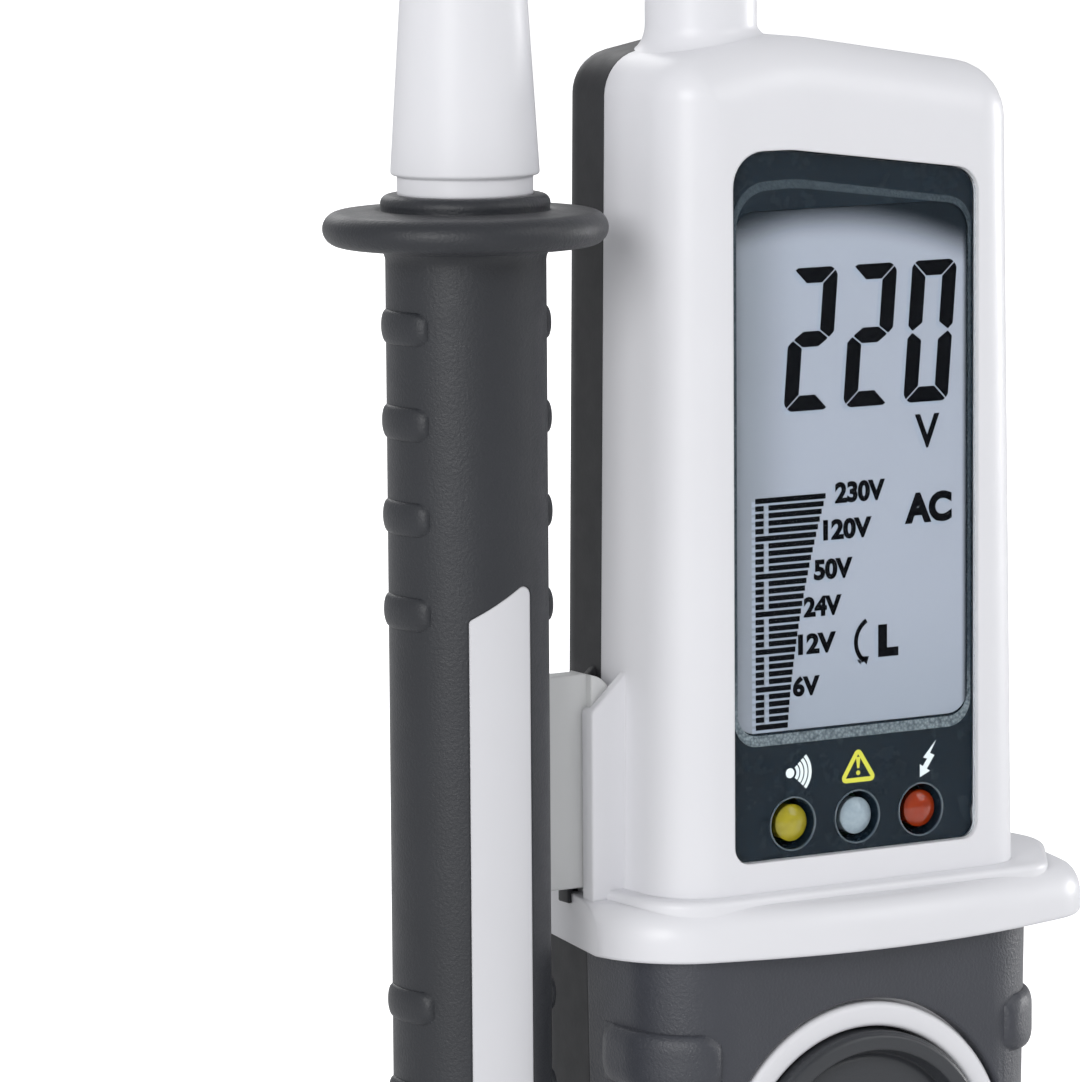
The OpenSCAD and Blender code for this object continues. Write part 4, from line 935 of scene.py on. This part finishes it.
class TESTER_OT_neck_and_tips(bpy.types.Operator):
    """Makes the white neck, both metal test tips and their push-on caps"""
    bl_idname = "tester.neck_and_tips"
    bl_label = "Neck and Tips"

    def execute(self, context):
        neck_r, flare, top_r = 5.7, 1.7, 1.2
        root, fade_z = roof(NECK_X) - 0.2, roof(NECK_X) + 1.5
        turns = [pi / 2 * k / 12 for k in range(13)]
        fillet = [(neck_r + flare * (1 - sin(t)), root + flare * (1 - cos(t))) for t in turns]
        profile = [(TIP_BORE_R, 206.0), (neck_r, 206.0), (neck_r, 216.2), (neck_r + flare, 216.2), *fillet,
                   (neck_r, 235.5), *arc((3.0, NECK_TOP - top_r), top_r, 0, 90), (TIP_BORE_R, NECK_TOP)]
        neck = turned("neck", profile, (NECK_X, 0, 0))
        # The fillet is sheared to follow the sloped roof, and the shear fades out above it
        for v in neck.data.vertices:
            z = v.co.z / MM
            if 215 < z < fade_z:
                v.co.z += (roof(v.co.x / MM) - roof(NECK_X)) * min(1, (fade_z - z) / (fade_z - root)) * MM
        finished(neck, "abs_satin_white", "tester_body", ["probe_neck"])

        tip_r, edge, collar = 2.0, 0.6, CAP_TOP + 0.4
        end = arc((tip_r - edge, TIP_TOP - edge), edge, 0, 90)
        for x, z0, body, node in ((NECK_X, 203.6, "tester_body", "main_tip"),
                                  (PROBE_X, NOSE_BORE_TOP, "second_probe", "probe_tip")):
            profile = [(0, z0), (TIP_BORE_R, z0), (TIP_BORE_R, collar), (tip_r, collar), *end, (0, TIP_TOP)]
            tip = turned("tip_" + body, profile, (x, 0, 0), segments=64)
            finished(tip, "nickel_turned", body, [node])

        cap_r, cap_bore, proud = 4.0, 2.05, 0.18
        end = arc((2.7, CAP_TOP - edge), edge, 0, 90)
        for x, body, node in ((NECK_X, "tip_cap_main", "main_tip_cap"),
                              (PROBE_X, "tip_cap_second", "probe_tip_cap")):
            rings = []
            for k in range(5):
                z = CAP_Z + 1.6 + 1.3 * k
                r = cap_r - 0.7 * (z - CAP_Z) / 14.9
                rings += [(r, z), (r + proud, z + 0.25), (r + proud, z + 0.55), (r - 0.02, z + 0.8)]
            profile = [(cap_bore, CAP_Z), (cap_r - 0.3, CAP_Z), (cap_r, CAP_Z + 0.3), *rings, *end,
                       (cap_bore, CAP_TOP)]
            cap = turned(body + "_sleeve", profile, (x, 0, 0))
            finished(cap, "abs_spark_charcoal", body, [node])
        return {"FINISHED"}


class TESTER_OT_window(bpy.types.Operator):
    """Makes the window, its printed bezel and the foil gasket round the display"""
    bl_idname = "tester.window"
    bl_label = "Window"

    def execute(self, context):
        lens = upright("window_lens", rounded(WINDOW, 0.15), -11.7, -11.15)
        soften(lens, context.scene.tester_sizes.lens_edge / MM, 2, 50)
        finished(lens, "polycarbonate_clear", "tester_body", ["display_lens"])

        bezel = upright("bezel_film", rounded(WINDOW, 0.15), PRINT_Y, -9.2)
        carve(bezel, "UNION", upright("bezel_lip", rounded(WINDOW, -1.2), -9.2, -8.5))
        glass = oblong(-14.4, 14.4, WINDOW_Z + 13.1, WINDOW_Z + 66.2, 2.5)
        recess = [(0, 8), (2.3, 8), (2.3, 9.7), (2.8, 11.0), (2.9, 11.2), (0, 11.2)]
        carve(bezel, "DIFFERENCE", upright("glass", rounded(glass), -12, -8),
              *[turned("recess", recess, (x, 0, LAMP_Z), "Y", 48) for x in LAMP_XS],
              *screw_posts(HEAD_SCREWS, 2.75, 8, 11.2, 40))
        finished(bezel, "film_printed_black", "tester_body", ["display_bezel"])

        outer = [(-14.5, WINDOW_Z + 11.8, 2.8), (14.6, WINDOW_Z + 11.8, 2.8), (14.6, WINDOW_Z + 66.3, 3.0),
                 (-7.0, WINDOW_Z + 69.3, 20.0), (-14.5, WINDOW_Z + 69.0, 4.0)]
        inner = [(-14.1, WINDOW_Z + 12.9, 2.4), (14.2, WINDOW_Z + 12.9, 2.4), (14.2, WINDOW_Z + 65.7, 2.8),
                 (-7.0, WINDOW_Z + 68.4, 20.0), (-14.1, WINDOW_Z + 68.1, 3.8)]
        foil = upright("foil_gasket", rounded(outer, 0, 12), PRINT_Y - 0.03, PRINT_Y + 0.1)
        carve(foil, "DIFFERENCE", upright("foil_middle", rounded(inner, 0, 12), -12, -10))
        finished(foil, "foil_crinkled", "tester_body")
        return {"FINISHED"}


class TESTER_OT_lcd_marks(bpy.types.Operator):
    """Draws what the display shows, figures, units, turn sign and bar graph, with its soft shadow"""
    bl_idname = "tester.lcd_marks"
    bl_label = "Display Marks"

    def execute(self, context):
        sizes = context.scene.tester_sizes
        front, back = LCD_Y - 0.03, LCD_Y + 0.05
        shown = []
        for digit, x in (("2", -8.43), ("2", -1.18), ("0", 6.22)):
            shown.append(seven_segment("digit", digit, x, WINDOW_Z + 45.63, front, back))

        # Each mark's text, lower left corner from the window's foot, height, width and boldness
        words = (("V", 7.75, 40.95, 3.5, 3.05, 0.02), ("230V", -2.1, 35.95, 2.2, 6.15, 0.05),
                 ("120V", -3.55, 32.25, 2.15, 5.95, 0.05), ("50V", -4.7, 28.25, 2.15, 4.75, 0.05),
                 ("24V", -5.95, 24.55, 2.1, 4.65, 0.05), ("12V", -6.65, 20.75, 2.15, 4.65, 0.05),
                 ("6V", -7.3, 16.5, 2.1, 3.3, 0.05), ("AC", 6.5, 33.2, 3.2, 5.85, 0.055),
                 ("L", 3.2, 19.75, 3.35, 2.5, 0.07))
        for text, x, z, height, width, weight in words:
            shown.append(lettering("mark", text, x, WINDOW_Z + z, height, width, front, back, weight))
        turns = [radians(-52 + 112 * k / 14) for k in range(15)]
        curve = [(3.05 - 2.6 * cos(t), WINDOW_Z + 21.5 + 2.5 * sin(t)) for t in turns]
        head = [(0.95, WINDOW_Z + 20.0), (2.05, WINDOW_Z + 19.95), (1.75, WINDOW_Z + 19.1)]
        shown += [stroke("turn_line", curve, 0.48, front, back), upright("turn_head", head, front, back)]
        shown.append(grown("bars", bar_tree(), {
            "Rows": sizes.bar_rows, "Pitch": sizes.bar_pitch, "Left": -11.8 * MM, "Top Right": -3.25 * MM,
            "Narrowing": 0.2484 * MM, "Easing": 0.00309 * MM, "Dash": 1.02 * MM, "Gap": 0.58 * MM,
            "Height": 0.55 * MM, "Thickness": 0.08 * MM,
            "Origin": (0, (front + back) / 2 * MM, (WINDOW_Z + 36.86) * MM),
            "Finish": bpy.data.materials["lcd_segment_black"]}))
        artwork = joined("lcd_segments", shown)
        shadow = duplicate("lcd_segment_shadows", artwork)
        shift(shadow, -0.42, 0.018, -0.3)
        finished(artwork, "lcd_segment_black", "tester_body")
        finished(shadow, "lcd_segment_shadow", "tester_body")
        return {"FINISHED"}


class TESTER_OT_printed_icons(bpy.types.Operator):
    """Prints the three plain icons above the lamps: sound waves, a warning triangle and a bolt"""
    bl_idname = "tester.printed_icons"
    bl_label = "Printed Icons"

    def execute(self, context):
        front, back = PRINT_Y - 0.02, PRINT_Y + 0.05
        centre = (-7.75, WINDOW_Z + 8.75)
        marks = [upright("wave_source", arc(centre, 0.52, 0, 330, 12), front, back)]
        for k in range(4):
            marks.append(stroke("wave", arc(centre, 0.95 + 0.5 * k, -42, 42, 10), 0.36, front, back))
        bolt = [(10.3, 10.55), (8.7, 8.85), (9.2, 8.7), (8.65, 7.95), (8.3, 8.2), (8.3, 6.85), (9.55, 7.4),
                (9.15, 7.65), (10.1, 9.0), (9.55, 9.25)]
        marks.append(upright("bolt", [(x, WINDOW_Z + z) for x, z in bolt], front, back))
        finished(joined("printed_marks", marks), "ink_white", "tester_body")

        foot = WINDOW_Z + 7.05
        corners = [(-1.8, foot, 0.5), (3.05, foot, 0.5), (0.62, WINDOW_Z + 10.85, 0.5)]
        sign = upright("sign", rounded(corners, 0, 4), front, back)
        carve(sign, "DIFFERENCE", upright("sign_middle", rounded(corners, 0.48, 4), -12, -10))
        top, low = WINDOW_Z + 9.65, WINDOW_Z + 8.5
        mark = upright("mark", [(0.36, top), (0.88, top), (0.75, low), (0.49, low)], front, back)
        dot = upright("dot", arc((0.62, WINDOW_Z + 8.02), 0.25, 0, 330, 11), front, back)
        finished(joined("printed_sign", [sign, mark, dot]), "ink_yellow", "tester_body")
        return {"FINISHED"}


class TESTER_OT_lamps(bpy.types.Operator):
    """Makes the three indicator lamps below the display"""
    bl_idname = "tester.lamps"
    bl_label = "Indicator Lamps"

    def execute(self, context):
        for x, colour in zip(LAMP_XS, ("yellow", "clear", "red")):
            node = "lamp_" + colour
            dome = arc((0, 7.95), 3.1, 52.2, 90, 14)
            profile = [(0, 3.0), (2.4, 3.0), (2.4, 4.0), (1.9, 4.0), *dome[:-1], (0, 11.05)]
            lamp = turned(node + "_dome", profile, (x + 0.27, 0, LAMP_Z), "Y", 64)
            finished(lamp, "epoxy_" + colour, "tester_body", [node], 50)
        rim = [(2.62, 11.0), (2.62, 11.1), *arc((2.74, 11.12), 0.09, 180, 0, 6), (2.83, 11.0)]
        rims = [turned("lamp_rim", rim, (x, 0, LAMP_Z), "Y", 64) for x in LAMP_XS]
        finished(joined("lamp_rims", rims), "film_edge_gloss_painted_highlight", "tester_body", angle=70)
        return {"FINISHED"}


class TESTER_OT_push_button(bpy.types.Operator):
    """Makes the stepped and dished test button"""
    bl_idname = "tester.push_button"
    bl_label = "Push Button"

    def execute(self, context):
        face, side_r, skirt_r, skirt_y = 14.7, 14.88, 16.3, 9.08
        turns = [radians(82) * k / 24 for k in range(1, 25)]
        dish = [(12.1 * sin(t), face - 1.75 + 0.6 * cos(t)) for t in turns]
        profile = [(2.2, 11.0), (2.2, 7.4), (0, 7.4), (0, face - 1.15), *dish, (12.2, face - 1.8),
                   (12.45, face - 1.95), (12.95, face - 0.3), *arc((13.2, face - 0.25), 0.25, 180, 90, 4),
                   *arc((14.2, face - 0.45), 0.45, 90, 10, 6), (14.78, face - 0.5), (side_r, face - 0.65),
                   (side_r, 10.08), (skirt_r, 10.08), (skirt_r, skirt_y), (13.2, skirt_y), (13.2, 11.0)]
        button = turned("test_button_cap", profile, (0, 0, BUTTON_Z), "Y", 128)
        finished(button, "abs_button_black", "test_button", ["push_button"], 28)
        return {"FINISHED"}


class TESTER_OT_probe_sleeve(bpy.types.Operator):
    """Moulds the second probe's soft sleeve with its guard, its collar and its rows of bumps"""
    bl_idname = "tester.probe_sleeve"
    bl_label = "Probe Sleeve"

    def execute(self, context):
        sizes = context.scene.tester_sizes
        guard_half = 1.7
        low, high = GUARD_Z - guard_half, GUARD_Z + guard_half
        profile = [(6.0, 0), *arc((6.05, 2.0), 2.0, -90, 0), (HANDLE_R, low - 1.8),
                   *arc((HANDLE_R + 1.5, low - 1.5), 1.5, 180, 100, 6), (10.5, low + 0.05),
                   *arc((12.6, GUARD_Z), guard_half, -90, 90, 16), (10.6, high + 0.1), (9.2, high + 0.22),
                   (8.75, high + 0.16), (8.45, high + 0.02), *arc((7.6, BEAD_TOP - 0.9), 0.9, -20, 90, 10),
                   (6.0, BEAD_TOP)]
        sleeve = turned("probe_handle", profile, (PROBE_X, 0, 0), segments=128)
        carve(sleeve, "DIFFERENCE", upright("inlay_seat", inlay_outline(0.04), -12, -3), key_form("key_seat"))
        finished(sleeve, "tpe_spark_handle", "second_probe", ["probe_sleeve"])

        rows, pitch = row_tree(), 9.5
        for side in (-1, 1):
            spine = []
            for k in range(25):
                t = radians(-32 + 64 * k / 24)
                out = (side * cos(t), sin(t))
                spine.append(((PROBE_X + HANDLE_R * out[0], HANDLE_R * out[1]), out))
            bump = swelling("bump", spine, 1.7, sizes.bump_proud / MM, 1.6, 1.65, 0.6)
            for place, z, count in (("upper", 190.1, sizes.bump_rows), ("lower", 121.8, 9)):
                first = duplicate("first_bump", bump)
                shift(first, 0, 0, z)
                name = "grip_bumps_" + place + ("_left" if side < 0 else "_right")
                bumps = grown(name, rows, {"Piece": first, "Count": count, "Step": (0, 0, -pitch * MM),
                                           "Finish": bpy.data.materials["tpe_spark_handle"]})
                bpy.data.objects.remove(first)
                finished(bumps, "tpe_spark_handle", "second_probe", angle=60)
            bpy.data.objects.remove(bump)
        return {"FINISHED"}


class TESTER_OT_probe_core(bpy.types.Operator):
    """Makes the second probe's hard parts: the core with its inlay, the dock key and the cone"""
    bl_idname = "tester.probe_core"
    bl_label = "Probe Core"

    def execute(self, context):
        axis = (PROBE_X, 0, 0)
        core_r, inlet_r = 6.0, 4.4
        seat = [(NOSE_SEAT_R, BEAD_TOP), (NOSE_SEAT_R, NOSE_SEAT_TOP), (NOSE_BORE_R, NOSE_SEAT_TOP)]
        core = turned("probe_body", [(NOSE_BORE_R, 3.0), (inlet_r, 3.0), (inlet_r, 0), (core_r, 0),
                                     (core_r, BEAD_TOP), *seat], axis)
        inlay = upright("inlay", inlay_outline(), -12, -3)
        carve(inlay, "INTERSECT", rod("inlay_face", 7.98, 10, 190, axis, segments=128))
        carve(inlay, "DIFFERENCE", rod("bore", core_r - 0.1, 5, 195, axis))
        carve(core, "UNION", inlay)
        finished(core, "abs_satin_core_painted_shade", "second_probe", ["probe_core"])

        key = key_form("dock_tab")
        carve(key, "DIFFERENCE", rod("bore", core_r, 120, 160, axis))
        soften(key, 0.2, 2, 60)
        finished(key, "abs_satin_grey", "second_probe", ["dock_key"])

        foot = [(6.8, BEAD_TOP), (6.8, 204.85), (6.9, 204.95), *arc((7.1, 205.35), 0.35, -60, 0, 6)]
        top = arc((3.5, NECK_TOP - 1.2), 1.2, 0, 90)
        bore = [(TIP_BORE_R, NECK_TOP), (TIP_BORE_R, NOSE_BORE_TOP), (NOSE_BORE_R, NOSE_BORE_TOP)]
        nose = turned("probe_cone", [seat[0], *foot, *top, *bore, seat[2], seat[1]], axis)
        finished(nose, "abs_satin_white", "second_probe", ["probe_nose"])
        return {"FINISHED"}


class TESTER_OT_rear_door(bpy.types.Operator):
    """Makes the battery door with its finger grooves"""
    bl_idname = "tester.rear_door"
    bl_label = "Battery Door"

    def execute(self, context):
        axis = (0, 0, DOOR_SCREW_Z)
        door = upright("battery_lid", rounded(DOOR), 11.0, 13.0)
        tools = [rod("head_hole", 2.65, -14, -11.8, axis, "Y", 48),
                 rod("shank_hole", 1.5, -14, -10.5, axis, "Y", 48)]
        for k in range(5):
            z = 22.0 + 2.0 * k
            half = 7.0 - 0.5 * abs(k - 2)
            tools.append(upright("groove", rounded(oblong(-half, half, z, z + 1.0, 0.45)), 12.5, 14.0))
        carve(door, "DIFFERENCE", *tools)
        finished(door, "abs_spark_charcoal", "rear_door", ["battery_door"])
        return {"FINISHED"}


class TESTER_OT_inner_parts(bpy.types.Operator):
    """Gives the CAD pieces that stay their finishes"""
    bl_idname = "tester.inner_parts"
    bl_label = "Inner Parts"

    def execute(self, context):
        chosen = {
            "bronze_stamped": ["tip_contact"],
            "lcd_reflector_grey_painted_shade": ["lcd_panel"],
            "pmma_diffuse_white": ["backlight"],
            "solder_mask_green": ["main_board"],
            "abs_button_black": ["buzzer", "switch_body"],
            "abs_satin_white": ["switch_plunger"],
            "abs_spark_charcoal": ["battery_tray"],
            "cell_jacket_grey": ["battery_cells"],
            "zinc_plated": ["battery_contacts", "door_screw", "case_screws"],
            "epdm_black": ["cable_grommet", "probe_grommet"],
            "silicone_red": ["probe_lead"],
        }
        for material, nodes in chosen.items():
            for node in nodes:
                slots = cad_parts[node].data.materials
                slots.clear()
                slots.append(bpy.data.materials[material])
        return {"FINISHED"}


class TESTER_OT_stage(bpy.types.Operator):
    """Sets the pale floor, the soft studio light and the camera"""
    bl_idname = "tester.stage"
    bl_label = "Stage"

    def execute(self, context):
        scene = context.scene
        floor = block("floor", (-9000, -9000, -20), (9000, 9000, -0.05))
        floor.data.materials.append(bpy.data.materials["studio_paper"])

        world = bpy.data.worlds.new("studio")
        scene.world = world
        world.use_nodes = True
        tree = world.node_tree
        ground = tree.nodes["Background"]
        ground.inputs["Color"].default_value = (0.97, 0.98, 1.0, 1)
        ground.inputs["Strength"].default_value = 0.5
        white = add(tree, "ShaderNodeBackground", {"Color": (1, 1, 1, 1), "Strength": 1.0})
        path = add(tree, "ShaderNodeLightPath")
        seen = add(tree, "ShaderNodeMixShader", {0: path.outputs["Is Camera Ray"], 1: ground.outputs[0],
                                                 2: white.outputs[0]})
        tree.links.new(seen.outputs[0], tree.nodes["World Output"].inputs["Surface"])

        # Each light's place in metres, its width and its power. All of them face the middle of the tester.
        middle = Vector((-0.01, 0, 0.17))
        lights = (("key_right", (1.6, -2.0, 1.7), 1.6, 17.0), ("fill_left", (-2.2, -1.4, 0.9), 1.4, 34.0),
                  ("side_right", (2.3, -0.1, 0.2), 1.0, 23.0), ("back_fill", (0.5, 2.4, 1.5), 1.6, 14.0))
        for name, place, size, power in lights:
            disc = bpy.data.lights.new(name, "AREA")
            disc.size, disc.energy, disc.shape = size, power, "DISK"
            light = new_piece(name, disc)
            light.location = place
            light.rotation_euler = (middle - Vector(place)).to_track_quat("-Z", "Y").to_euler()
            light.visible_camera = False

        # The camera's angles, lens and place were fitted to the straight edges of the display head
        azimuth, pitch, roll = radians(-31.44), radians(7.48), radians(-0.417)
        back = Vector((sin(azimuth) * cos(pitch), -cos(azimuth) * cos(pitch), sin(pitch)))
        right = Vector((cos(azimuth), sin(azimuth), 0))
        up = back.cross(right)
        side = right * cos(roll) + up * sin(roll)
        rise = up * cos(roll) - right * sin(roll)
        lens = bpy.data.cameras.new("view")
        lens.sensor_fit, lens.sensor_height, lens.sensor_width, lens.lens = "VERTICAL", 36.0, 36.0, 219.38
        lens.clip_start, lens.clip_end = 0.01, 60
        camera = new_piece("view", lens)
        turn = Matrix((side, rise, back)).transposed().to_4x4()
        camera.matrix_world = Matrix.Translation((-0.3747, -0.5629, 0.2542)) @ turn
        scene.camera = camera
        scene.view_settings.view_transform = "Standard"
        return {"FINISHED"}


OPERATORS = (TESTER_OT_finishes, TESTER_OT_front_shell, TESTER_OT_rear_shell, TESTER_OT_grip_cover,
             TESTER_OT_neck_and_tips, TESTER_OT_window, TESTER_OT_lcd_marks, TESTER_OT_printed_icons,
             TESTER_OT_lamps, TESTER_OT_push_button, TESTER_OT_probe_sleeve, TESTER_OT_probe_core,
             TESTER_OT_rear_door, TESTER_OT_inner_parts, TESTER_OT_stage)


class TESTER_PT_pieces(bpy.types.Panel):
    """Lists the settings and the steps that build the tester"""
    bl_idname = "TESTER_PT_pieces"
    bl_label = "Voltage Tester"
    bl_space_type = "VIEW_3D"
    bl_region_type = "UI"
    bl_category = "Tester"

    def draw(self, context):
        column = self.layout.column()
        for group in (context.scene.tester_sizes, context.scene.tester_finishes):
            for name in group.__annotations__:
                column.prop(group, name)
        for operator in OPERATORS:
            column.operator(operator.bl_idname)


CLASSES = (TesterSizes, TesterFinishes, *OPERATORS, TESTER_PT_pieces)


def register():
    """Makes the settings, the steps and the panel known to Blender"""
    for item in CLASSES:
        bpy.utils.register_class(item)
    bpy.types.Scene.tester_sizes = PointerProperty(type=TesterSizes)
    bpy.types.Scene.tester_finishes = PointerProperty(type=TesterFinishes)


def unregister():
    """Takes them away again"""
    del bpy.types.Scene.tester_finishes
    del bpy.types.Scene.tester_sizes
    for item in reversed(CLASSES):
        bpy.utils.unregister_class(item)


def main():
    """Builds the tester piece by piece"""
    register()
    for operator in OPERATORS:
        group, name = operator.bl_idname.split(".")
        getattr(getattr(bpy.ops, group), name)()


if __name__ == "__main__":
    main()
